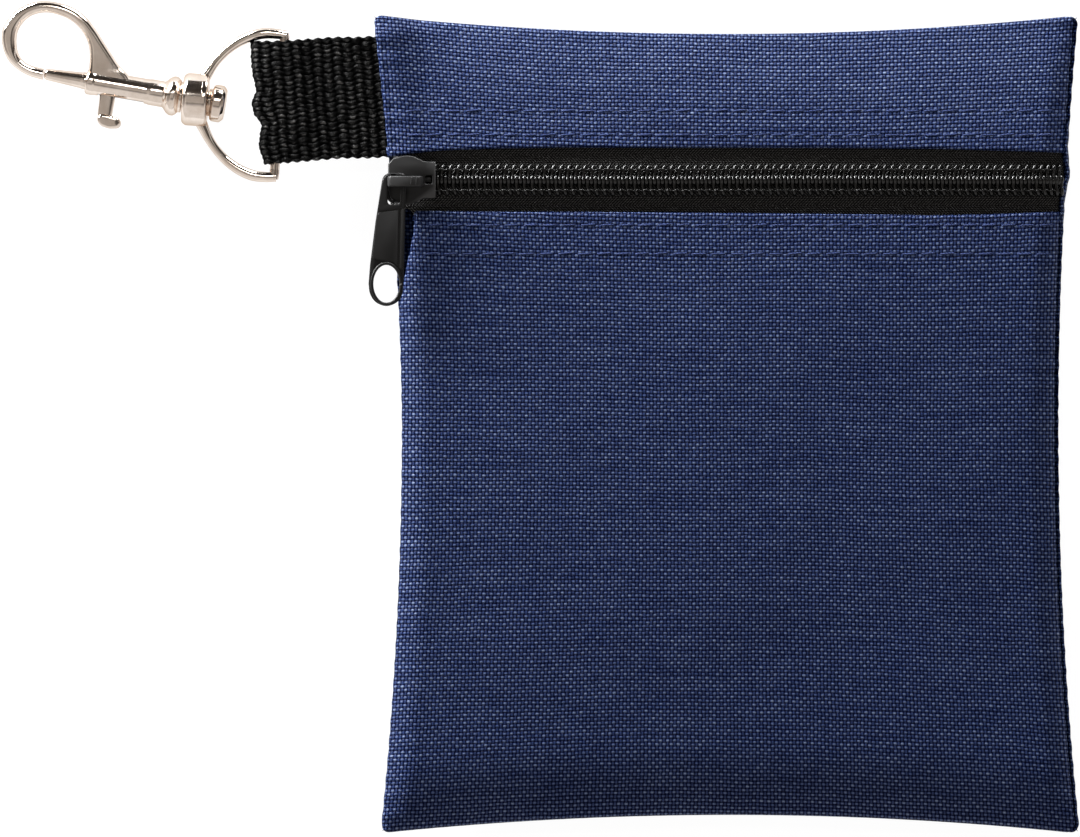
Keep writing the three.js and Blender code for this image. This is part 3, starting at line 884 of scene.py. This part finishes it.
def make_seam_thread():
    """The closing lockstitch: short stitches seen in the gap of the turned side seams."""
    step, inset = 3.2, 0.9
    t = np.linspace(-1, 1, 5)
    reach = t * 1.2
    stitches = []
    for side in (-1, 1):
        for y in np.arange(-78, 79, step):
            # The webbing covers the seam's upper left.
            if side < 0 and 40 < y < 82:
                continue
            ys = y + reach
            xs = side * (half_width(ys) - inset) + lean(np.full(5, float(side)), ys)
            stitches.append((xs, ys, drop(side, ys)))
    for end in (-1, 1):
        for x in np.arange(-66, 67, step):
            xs = x + reach
            ys = end * (end_at(xs / HALF_WIDTH) - inset)
            stitches.append((xs, ys, drop(xs / HALF_WIDTH, ys)))
    parts = [tube_mesh(np.column_stack([xs, ys, SEAM_Z + 0.1 * t ** 2 - low]), 0.2, 6)
             for xs, ys, low in stitches]
    piece = add_object("seam_lockstitch", *gather(parts), NAVY_THREAD)
    settle(piece, "pouch", "seam_thread")


# ---------------------------------------------------------------- zip
ZIP_DIVE = 61.0                  # the chain bends down into the right seam from here
DIVE_RADIUS = 12.0
DIVE_END = math.radians(42)
CROWD_START = 60                 # its loops crowd together from here
MOUTH_BULGE = 0.7                # the right seam is pushed out by the zip's end


def bulge_at(y):
    """How far the right seam is pushed out."""
    return MOUTH_BULGE * np.exp(-((y - ZIP_Y - 1.3) / 3.2) ** 2)


def zip_bend(along, height):
    """Where a point of the straight chain goes: level, then down an arc into the right seam."""
    turn = np.clip((along - ZIP_DIVE) / DIVE_RADIUS, 0, DIVE_END)
    rest = np.maximum(along - ZIP_DIVE - turn * DIVE_RADIUS, 0)
    level = COIL_Z[0]
    x = np.where(turn > 0, ZIP_DIVE + (DIVE_RADIUS + height - level) * np.sin(turn)
                 + rest * np.cos(turn), along)
    z = np.where(turn > 0, level + (DIVE_RADIUS + height - level) * np.cos(turn) - DIVE_RADIUS
                 - rest * np.sin(turn), height)
    return x, z


def squeeze(along):
    """The chain's loops crowd together over its last few millimetres."""
    past = np.maximum(along - CROWD_START, 0)
    return along - 0.05 * past ** 1.6


def make_tapes():
    """The two woven tapes, each tucked under the front and bent down at the right seam."""
    for side, node in ((1, "zipper_tape_upper"), (-1, "zipper_tape_lower")):
        across = np.linspace(0.45, 14.5, 30)
        along = np.concatenate([np.linspace(-68.6, 60, 150), np.linspace(60.6, 70.0, 24)])
        x, y = np.meshgrid(along, across)
        y = y * (1 - 0.6 * smoothstep(-x, 60, 65))
        z = np.full_like(x, TAPE_TOP) + 0.05 * field(x, y, 9, 2.2 + side)
        x, z = zip_bend(x, z - 1.9 * smoothstep(-x, 65.5, 69.5))
        under = smoothstep(y, 5.6, 7.5)
        ceiling = front_height(np.clip(x / half_width(ZIP_Y), -1, 1),
                               np.full_like(x, ZIP_Y + side * 8)) - 1.15
        z = np.where(under > 0, np.minimum(z, z * (1 - under) + ceiling * under), z)
        x = np.minimum(x, half_width(ZIP_Y + side * y) + bulge_at(ZIP_Y + side * y) - 0.75
                       - 0.02 * (70 - np.broadcast_to(along, x.shape)))
        points = np.dstack([x, ZIP_Y + side * y, z])
        uv = np.dstack([np.broadcast_to(along, x.shape), side * y])
        if side < 0:
            points, uv = points[::-1], uv[::-1]
        piece = cloth_shell(node + "_cloth", points, uv, 0.4, TAPE)
        settle(piece, "pouch", node)


PITCH = 1.59                     # from one coil loop to the next
LOOP = np.array([                # one coil loop: along, out from the zip's centre, height, radius
    (0.02, 2.3, -0.3, 0.3), (0.42, 2.95, 0.1, 0.34), (0.3, 2.5, 0.6, 0.36),
    (-0.02, 1.3, 0.66, 0.34), (-0.02, 0.55, 0.74, 0.36), (-0.02, -0.1, 0.86, 0.44),
    (-0.02, -0.68, 0.45, 0.44), (0.1, -0.3, 0.0, 0.32), (0.55, 0.9, -0.3, 0.28)])


def make_coils():
    """The two rows of coil loops, and the threads that sew them down."""
    for side, node in ((1, "zipper_coil_upper"), (-1, "zipper_coil_lower")):
        shift = 0 if side > 0 else PITCH / 2
        starts = np.arange(-63.0, 68.5, PITCH) + shift
        curve = catmull(np.vstack([LOOP + (start, 0, 0, 0) for start in starts]), 3)
        path, radius = curve[:, :3].copy(), curve[:, 3]
        path[:, 2] += COIL_Z[0]
        path[:, 0], path[:, 2] = zip_bend(squeeze(path[:, 0]), path[:, 2])
        path[:, 1] = ZIP_Y + side * path[:, 1] + 0.06 * np.sin(path[:, 0] / 11)
        piece = add_object(node + "_wire", *tube_mesh(path, radius, 10, up=(1, 0, 0)), COIL)
        settle(piece, "pouch", node)
    rows = []
    for offset in (-2.1, 2.1):
        xs = np.arange(-62, 66.5, 0.27)
        wave = np.sin(2 * np.pi * xs / PITCH)
        x, z = zip_bend(squeeze(xs), COIL_Z[1] + 0.12 + 0.1 * wave)
        rows.append(tube_mesh(np.column_stack([x, ZIP_Y + offset + 0.12 * wave, z]), 0.14, 6))
    piece = add_object("coil_sewing_threads", *gather(rows), COIL)
    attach(piece, "pouch")


# ---------------------------------------------------------------- slider and pull
def slider_plan():
    """The top plate's outline: wide shoulders at the front, a bevel, and a narrow tail."""
    front, rear = SLIDER_LOW[0], SLIDER_HIGH[0]
    half = [(front + 0.1, 3.2), (front + 1.1, 4.35), (front + 3.0, 4.85), (front + 4.3, 4.95),
            (front + 5.4, 4.7), (front + 7.3, 3.8), (front + 8.6, 3.72), (rear, 3.7)]
    lower = [(x, -y) for x, y in half[::-1]]
    return [(x, y + ZIP_Y - 0.05) for x, y in [*lower, *half]][::-1]


def make_slider():
    """The slider's casting and its locking tooth."""
    plate_low, plate_high = SLIDER_HIGH[2] - 0.9, SLIDER_HIGH[2]
    front, rear = SLIDER_LOW[0], SLIDER_HIGH[0]
    slot = [(rear - 2.1, ZIP_Y - 0.85), (rear - 0.75, ZIP_Y - 0.85), (rear - 0.75, ZIP_Y + 0.85),
            (rear - 2.1, ZIP_Y + 0.85)]
    top = plate("slider_top_plate", [slider_plan(), slot], plate_low, plate_high, 0.3, ENAMEL)

    def crown_over(p):
        bow = 0.35 * np.clip(1 - ((p[:, 1] - ZIP_Y) / 5.2) ** 2, 0, 1) - 0.35
        p[:, 2] += np.where(p[:, 2] > plate_low + 0.3, bow, 0)
        return p

    move_vertices(top, crown_over)
    pieces = [top]
    gap = TAPE_TOP + 0.35
    for side in (-1, 1):
        wall = [(front + 1.2, 4.0), (front + 1.2, 4.6), (front + 4.9, 4.75), (front + 7.2, 3.68),
                (rear, 3.62), (rear, 3.2), (front + 7.2, 3.2), (front + 4.9, 4.1)]
        loop = [(x, ZIP_Y + side * y) for x, y in wall]
        pieces.append(plate("slider_flange", [loop], gap, plate_high - 0.4, 0.12, ENAMEL))
    under = [(front + 2.6, -3), (front + 3.5, -3.9), (front + 7.1, -3.6), (rear - 0.2, -3.55),
             (rear - 0.2, 3.55), (front + 7.1, 3.6), (front + 3.5, 3.9), (front + 2.6, 3)]
    pieces.append(plate("slider_under_plate", [[(x, y + ZIP_Y) for x, y in under]],
                        SLIDER_LOW[2], SLIDER_LOW[2] + 0.85, 0.2, ENAMEL))
    neck = [(front + 2.8, 0), (front + 3.8, -1.2), (front + 4.6, 0), (front + 3.8, 1.2)]
    pieces.append(plate("slider_neck", [[(x, y + ZIP_Y) for x, y in neck]],
                        SLIDER_LOW[2] + 0.5, plate_high - 0.4, 0.1, ENAMEL))
    body = join_objects("slider_casting", pieces)
    settle(body, "slider", "slider_body")
    make_bridge()
    pin_low, pin_high = node_box("slider_lock_pin")
    pin = [(pin_low[0], pin_low[1]), (pin_high[0], pin_low[1]), (pin_high[0], pin_high[1]),
           (pin_low[0], pin_high[1])]
    tooth = plate("lock_tooth", [pin], pin_low[2], plate_low + 0.15, 0.08, ENAMEL)
    settle(tooth, "slider", "slider_lock_pin")


def make_bridge():
    """The bridge: an arch whose top bar is rounded over, with two pressed ribs at its rear."""
    low, high = node_box("slider_bridge")
    middle = (low[1] + high[1]) / 2
    left, right, foot, crest = low[0] - 0.35, high[0], low[2] - 0.35, high[2]
    profile = [(left + 0.1, foot), (left, crest - 0.9), (left + 0.25, crest - 0.35),
               (left + 0.8, crest), (right - 1.3, crest), (right - 0.45, crest - 0.3),
               (right, crest - 1.0), (right, foot), (right - 1.2, foot), (right - 1.35, crest - 0.95),
               (right - 1.8, crest - 0.9), (left + 2.2, crest - 0.9), (left + 1.95, crest - 1.1),
               (left + 1.85, foot)]

    def stand(p):
        width = np.where(p[:, 1] < crest - 1.2, 0.58, 1.0)
        return np.column_stack([p[:, 0], middle - p[:, 2] * width, p[:, 1]])

    parts = [plate("bridge_arch", [profile], -1.0, 1.12, 0.28, ENAMEL)]
    for rib in (2.3, 1.3):
        x = right - rib
        loop = [(x - 0.22, crest - 0.3), (x + 0.22, crest - 0.3), (x + 0.16, crest + 0.12),
                (x - 0.16, crest + 0.12)]
        parts.append(plate("bridge_rib", [loop], -0.7, 0.7, 0.06, ENAMEL))
    for part in parts:
        move_vertices(part, stand)
    # Its front leg curls under the pull's window.
    curl = catmull([(-68.75, middle + 0.9), (-69.1, middle - 0.9), (-69.15, 46.7), (-68.75, 45.3),
                    (-67.8, 44.6)], 6)
    path = np.column_stack([curl, np.full(len(curl), PULL_LOW[2] - 0.4)])
    parts.append(add_object("bridge_curl", *tube_mesh(path, 0.36, 12), ENAMEL))
    bridge = join_objects("slider_bridge_bar", parts)
    settle(bridge, "slider", "slider_bridge")


def make_pull():
    """The pull: a tapered blade with a window at its root, a pressed recess and a finger hole."""
    left, bottom, low = PULL_LOW
    right, top, high = PULL_HIGH
    tip = [(left + 0.05, 28.2), (left + 0.35, 26.2), (left + 1.5, 24.5), (-69.35, bottom),
           (-67.3, 24.4), (-66.15, 26.0), (-65.85, 28.2)]
    root_end = rounded_loop([(-65.4, 47), (right, top - 0.3), (-69.95, top - 0.4), (-71.5, 40.7)],
                            1.5)
    outline = [(-65.75, 30.5), (-65.4, 46.5), *root_end[5:15], (-71.5, 40.7), (-72.6, 32),
               *catmull(tip, 4)]
    window = rounded_loop([(-69.05, 44.1), (-66.5, 44.1), (-66.5, 50.15), (-69.05, 50.15)], 0.8)
    hole = ellipse(-69.3, 28.2, 2.62, 3.78)
    sunk = high - 0.3
    blade = plate("pull_blade", [outline, window[::-1], hole[::-1]], low, sunk, 0.22, ENAMEL)
    # A raised face stops short of the right edge, and a thicker root surrounds the window.
    face = [(-67.05, 31.6), (-66.75, 43.0), (-71.1, 42.4), (-72.15, 33.4), (-71.2, 33.0),
            (-69.4, 32.75), (-67.8, 32.6)]
    layers = [plate("pull_face", [rounded_loop(face, 0.5)], sunk - 0.1, high - 0.02, 0.09, ENAMEL)]
    root = rounded_loop([(-66.25, 43.35), (-65.55, 49.6), (-66.0, 50.3), (-69.2, 50.25),
                         (-69.95, 49.2), (-71.15, 42.75)], 0.5)
    layers.append(plate("pull_root", [root, window[::-1]], sunk - 0.1, high, 0.1, ENAMEL))
    edge = [(-65.98, 31.0), (-65.58, 43.2), (-66.3, 43.2), (-66.62, 31.2)]
    layers.append(plate("pull_edge", [rounded_loop(edge, 0.2)], sunk - 0.1, high - 0.06, 0.1,
                        ENAMEL))
    rim = ellipse(-69.3, 28.2, 2.95, 4.1, 64)
    path = np.column_stack([rim, np.full(len(rim), high - 0.12)])
    bead = add_object("pull_hole_rim", *tube_mesh(np.vstack([path, path[:1]]), 0.3, 10), ENAMEL)
    pull = join_objects("pull_blade", [blade, bead, *layers])
    settle(pull, "pull", "pull_tab")


# ---------------------------------------------------------------- webbing tab
WEB_WIDTH = 24.4
WEB_PLY = 1.1                    # the webbing's thickness
FOLD_REACH = -24.4               # the fold's outer edge, from the hinge line
FOLD_EDGE = [                    # the fold's edge across the webbing, out from that
    (-13, 1.0), (-11, 0.5), (-8.6, -0.1), (-6.8, 0.15), (-4.4, 0.85), (-2.0, -0.55), (0.2, -0.85),
    (2.3, 0.3), (4.4, 0.0), (7.4, -0.3), (10.0, -0.2), (13, -0.1)]


def make_webbing():
    """One length of webbing from the seam, round the ring's bar and back to the seam."""
    bar_half = 1.95
    side = [(4.0, 0.72), (0.0, 0.72), (-6, 0.78), (-11.5, 0.95), (-15.5, bar_half - 0.25),
            (-18.5, bar_half), (-21.3, bar_half), (-23.3, 1.45), (FOLD_REACH + 0.1, 0.0)]
    path = side + [(u, -z) for u, z in side[-2::-1]]
    line = catmull(path, 14)
    steps = np.r_[0, np.cumsum(np.hypot(*np.diff(line, axis=0).T))]
    length = steps[-1]
    along = np.linspace(0, length, int(length / 0.26))
    u = np.interp(along, steps, line[:, 0])
    w = np.interp(along, steps, line[:, 1])
    across = np.linspace(-WEB_WIDTH / 2, WEB_WIDTH / 2, 97)
    u, v = np.meshgrid(u, across)
    w = np.meshgrid(w, across)[0]
    run = np.meshgrid(along, across)[0]
    edge = np.abs(v) > WEB_WIDTH / 2 - 0.6
    v = v + np.where(edge, np.sign(v) * 0.16 * np.sin(2 * np.pi * run / (WEB_CELL[0] / 2)), 0)
    fold = smoothstep(-u, -FOLD_REACH - 7, -FOLD_REACH)
    # The fold's edge is uneven, as the webbing is soft there.
    edge_v, edge_u = np.array(FOLD_EDGE).T
    u = u + fold * (np.interp(v, edge_v, edge_u) + 0.12 * field(v, v * 0, 1.7, 6.6))
    v = v + 0.45 * smoothstep(-u, 1, 9) + 0.4 * fold * (0.5 + v / WEB_WIDTH)
    lift = 0.2 * field(u, v, 9, 1.3) * fold
    swayed = v + WEB_SWAY * np.sin(2 * np.pi * run / WEB_CELL[0])
    wall = np.sin(np.pi * run / (WEB_CELL[0] / 2)) * np.sin(np.pi * swayed / (WEB_CELL[1] / 2))
    relief = 0.28 * np.sqrt(np.maximum(wall, 0)) + 0.2 * np.sqrt(np.maximum(-wall, 0))
    local = np.dstack([u, v, w + lift])
    points = placed(local.reshape(-1, 3), TAB_HINGE, TAB_ANGLE).reshape(local.shape)
    uv = np.dstack([run, v])
    # Out of the fold's upper layer is up: rows run across the tab, columns along it.
    piece = cloth_shell("webbing_strap", points[:, ::-1], uv[:, ::-1], WEB_PLY, WEBBING,
                        relief[:, ::-1])
    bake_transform(piece)
    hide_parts("tab_loop", "tab_tail")


# ---------------------------------------------------------------- D-ring
RING_WIRE = 0.97                 # radius of the ring's wire


def make_ring():
    """The cast D-ring, with the collar in which the hook turns."""
    corner, bore, half = 14.3, 2.0, 2.55
    collar = rounded_profile([(-half, bore), (-half, 4.75), (-half + 0.75, 5.3), (half - 1.15, 5.3),
                              (half - 1.15, 5.35), (half - 0.15, 5.35), (half, 4.6),
                              (half, bore)], 0.35)
    parts = [turned_mesh(collar, 72, hollow=True)]
    arm = [(RING_REACH + 0.4, corner), (15.2, corner + 0.2), (12.4, corner + 0.02),
           (9.2, 13.1), (6.2, 11.0), (3.6, 8.1), (1.5, 4.6)]
    width = catmull([(1.0,), (1.05,), (1.12,), (1.05,), (0.95,), (0.95,), (1.25,)], 12)[:, 0]
    for side in (-1, 1):
        path = [(x, y * side, 0) for x, y in arm]
        parts.append(tube_mesh(catmull(path, 12), RING_WIRE * width, 20))
        # The square corner of the casting.
        path = [(RING_REACH, side * (corner + past), 0) for past in (-1.4, -0.3, 0.55)]
        parts.append(tube_mesh(path, [RING_WIRE, RING_WIRE, RING_WIRE * 0.9], 20))
    bar = [(RING_REACH, y, 0) for y in np.linspace(-corner, corner, 24)]
    parts.append(tube_mesh(bar, RING_WIRE, 20))
    verts, faces = gather(parts)
    ring = add_object("d_ring_casting", placed(verts, COLLAR, RING_ANGLE), faces, NICKEL,
                      sharp=40)
    settle(ring, "ring", "d_ring")


# ---------------------------------------------------------------- trigger hook
HOOK_RAILS = [                   # outer and inner edges of the hook's cast loop, nose to barrel
    (-31.2, -1.2, -31.2, 0.95), (-33.8, -0.9, -33.4, 1.1), (-36.2, -0.1, -35.2, 1.6),
    (-38.3, 1.25, -36.6, 2.8), (-39.9, 3.5, -37.4, 4.4), (-40.7, 6.2, -37.8, 6.6),
    (-40.4, 8.6, -37.55, 8.4), (-38.7, 11.5, -36.4, 10.4), (-35.6, 13.8, -34.7, 11.7),
    (-31.8, 14.6, -32.0, 12.4), (-27.9, 14.2, -28.6, 11.95), (-24.8, 12.8, -26.0, 10.7),
    (-22.3, 10.6, -24.1, 8.9), (-20.3, 8.4, -23.0, 7.0), (-18.2, 6.1, -22.5, 5.2),
    (-16.2, 4.0, -22.25, 3.4), (-14.4, 2.7, -22.2, 1.9), (-13.4, 1.6, -22.2, 0.8)]
HOOK_THICKNESS = 3.9


def at_collar(verts):
    """From the hook's own frame, with x towards the ring, to the pouch's."""
    return placed(verts, COLLAR, HOOK_ANGLE)


def loft(rails, half_thickness, radius):
    """A bar between two edges, with a rounded rectangle for its section."""
    fine = catmull(rails, 8)
    middle = (fine[:, :2] + fine[:, 2:]) / 2
    across = (fine[:, :2] - fine[:, 2:]) / 2
    width = np.linalg.norm(across, axis=1)
    across = across / width[:, None]
    section = []
    for quarter, (side, up) in enumerate([(1, 1), (-1, 1), (-1, -1), (1, -1)]):
        for angle in np.radians(np.linspace(0, 90, 5) + 90 * quarter):
            section.append((side, up, math.cos(angle), math.sin(angle)))
    verts = []
    for centre, direction, half in zip(middle, across, width):
        soft = min(radius, half)
        for side, up, c, s in section:
            reach = side * (half - soft) + c * soft
            z = up * (half_thickness - radius) + s * radius
            verts.append((*(centre + direction * reach), z))
    count = len(section)
    faces = grid_faces(len(fine), count, wrap=True) + end_caps(count, len(verts))
    return np.array(verts), faces


def make_hook():
    """The hook's casting and the headed stud that turns in the ring's collar."""
    loop = add_object("hook_loop", *loft(HOOK_RAILS, HOOK_THICKNESS / 2, 1.05), NICKEL)
    grip = rounded_profile([(-22.35, 1.95), (-22.35, 2.3), (-22.0, 2.6), (-20.9, 2.6),
                            (-20.6, 2.5), (-9.8, 2.5), (-9.2, 2.62), (-6.3, 2.62), (-6.3, 1.95)],
                           0.25)
    barrel = add_object("hook_barrel", *turned_mesh(grip, 56, hollow=True), NICKEL)
    cutter_points = [(-19.7, -5), (-10.2, -5), (-10.2, -0.5), (-19.7, -0.5)]
    cutter = plate("lever_slot", [rounded_loop(cutter_points, 0.8)], -1.15, 1.15, 0, None)
    boolean = barrel.modifiers.new("slot", "BOOLEAN")
    boolean.operation = "DIFFERENCE"
    boolean.solver = "EXACT"
    boolean.object = cutter
    apply_modifiers(barrel)
    bpy.data.objects.remove(cutter)
    bead = rounded_profile([(-6.5, 0.0), (-6.5, 2.6), (-6.05, 3.0), (-5.6, 3.55), (-4.9, 3.98),
                            (-4.1, 3.98), (-3.45, 3.5), (-3.25, 3.1), (-2.62, 3.1), (-2.62, 0.0)],
                           0.2)
    rest = add_object("hook_bead", *turned_mesh(bead, 56), NICKEL)
    hook = join_objects("hook_casting", [barrel, loop, rest])
    move_vertices(hook, at_collar)
    shade_smooth(hook.data, 38)
    settle(hook, "hook", "hook_body")

    head = rounded_profile([(-3.0, 0.0), (-3.0, 1.6), (2.62, 1.6), (2.62, 2.8), (3.3, 2.8),
                            (3.3, 3.35), (3.75, 3.75), (5.35, 3.75), (6.1, 3.0), (6.1, 0.0)], 0.22)
    verts, faces = turned_mesh(head, 56)
    stud = add_object("stud_head", at_collar(verts), faces, NICKEL, sharp=35)
    settle(stud, "hook", "swivel_stud")
    spring_slots = frame["nodes"]["latch_spring"].data.materials
    spring_slots.clear()
    spring_slots.append(STEEL)


def make_latch():
    """The sliding bolt inside the barrel, its stem through the slot and its thumb pad."""
    pin = rounded_profile([(-30.95, 0.0), (-30.95, 0.8), (-30.5, 1.12), (-23.4, 1.6),
                           (-22.9, 1.72), (-16.2, 1.72), (-16.2, 0.0)], 0.3)
    parts = [add_object("latch_pin", *turned_mesh(pin, 40), NICKEL)]
    stem = [(-19.3, -1.0), (-19.1, -3.4), (-18.95, -6.6), (-16.15, -6.6), (-16.1, -3.4),
            (-16.1, -1.0)]
    parts.append(plate("latch_stem", [stem], -1.05, 1.05, 0.4, NICKEL))
    pad = rounded_loop([(-18.6, -6.1), (-18.95, -7.3), (-18.1, -8.4), (-16.3, -8.7),
                        (-14.4, -8.3), (-13.95, -7.3), (-14.5, -6.4), (-16.4, -6.0)], 0.6)
    parts.append(plate("latch_pad", [pad], -1.6, 1.6, 0.5, NICKEL))
    latch = join_objects("latch_slide_bolt", parts)
    move_vertices(latch, at_collar)
    shade_smooth(latch.data, 38)
    settle(latch, "latch", "latch_bolt")


# ---------------------------------------------------------------- stage
VIEW_CENTRE = -38.4, 1.1         # the point of the table straight below the camera
VIEW_WIDTH = 218.2               # width of the table that the picture takes in
CAMERA_HEIGHT = 1300.0
FLOOR_REACH = 3.0                # metres
ROOM = [                         # the studio from in front (-Y) over the top to behind (+Y):
                                 # where, how bright, how warm
    (0.05, 0.85, 0.06), (0.34, 0.8, 0.08), (0.42, 0.45, 0.12), (0.51, 0.34, 0.14),
    (0.58, 0.3, 0.16), (0.62, 0.06, 0.3), (0.67, 0.05, 0.3), (0.69, 0.75, 0.06),
    (0.73, 0.75, 0.06), (0.75, 0.07, 0.3), (0.88, 0.03, 0.3), (1.0, 0.02, 0.3)]


def make_camera():
    """The photograph's view: straight down from far off."""
    data = bpy.data.cameras.new("camera")
    data.sensor_width = 36
    data.lens = data.sensor_width * (CAMERA_HEIGHT - SEAM_Z) / VIEW_WIDTH
    data.clip_end = 20
    camera = add_to_scene("camera", data)
    camera.location = (VIEW_CENTRE[0] * MM, VIEW_CENTRE[1] * MM, CAMERA_HEIGHT * MM)
    bpy.context.scene.camera = camera


def area_light(name, position, target, size, power, colour=(1, 1, 1)):
    """A rectangular light, in metres, that faces a target."""
    data = bpy.data.lights.new(name, "AREA")
    data.shape = "RECTANGLE"
    data.size, data.size_y = size
    data.energy = power
    data.color = colour
    light = add_to_scene(name, data)
    light.location = position
    aim = Vector(target) - Vector(position)
    light.rotation_euler = aim.to_track_quat("-Z", "Y").to_euler()


def make_world():
    """A dim room: its light varies from front to back, and is weaker straight overhead."""
    n = Nodes(bpy.data.worlds.new("studio"), "Background")
    bpy.context.scene.world = n.owner
    around = n.node("ShaderNodeTexCoord", "Generated")
    _, across, up = n.split(around)
    along = n.node("ShaderNodeMapRange", "Result", {"Value": across, "From Min": -1})
    uneven = n.math("MULTIPLY_ADD", n.noise(around, 1.6), 0.08, along)
    overhead = n.node("ShaderNodeMapRange", "Result", {
        "Value": up, "From Min": 0.8, "From Max": 0.97, "To Min": 1.0, "To Max": 0.22},
        interpolation_type="SMOOTHSTEP")
    tones = [(place, (value, value * (1 - 0.6 * warmth), value * (1 - warmth)))
             for place, value, warmth in ROOM]
    n.set(Color=n.ramp(uneven, tones), Strength=overhead)


def make_stage():
    """The floor, the lights and the room."""
    mesh = bpy.data.meshes.new("floor")
    mesh.from_pydata([(x * FLOOR_REACH, y * FLOOR_REACH, 0) for x, y in (
        (-1, -1), (1, -1), (1, 1), (-1, 1))], [], [(0, 1, 2, 3)])
    floor = add_to_scene("floor", mesh)
    n = new_material("pale_floor")
    n.set(Base_Color=(0.15, 0.15, 0.15, 1), Roughness=0.9, Specular_IOR_Level=0.1,
          Emission_Color=(1, 1, 1, 1), Emission_Strength=0.93)
    mesh.materials.append(n.owner)
    area_light("key", (-0.1, 0.42, 0.95), (-0.02, 0, 0), (0.16, 0.16), 0.9, (1, 0.99, 0.975))
    area_light("window_left", (-0.5, 0.5, 0.1), (-0.03, 0.03, 0), (0.5, 0.14), 20)
    area_light("window_right", (0.12, 0.56, 0.095), (-0.03, 0.03, 0), (0.28, 0.14), 4.2)
    area_light("card", (-0.44, 0.05, 1.0), (-0.2, 0.03, 0), (0.55, 0.9), 0.6, (1, 0.93, 0.86))
    make_world()
    bpy.context.scene.view_settings.view_transform = "Standard"


for make in (make_camera, make_stage, make_panels, make_stitches, make_seam_thread, make_tapes,
             make_coils, make_slider, make_pull, make_webbing, make_ring, make_hook, make_latch):
    make()
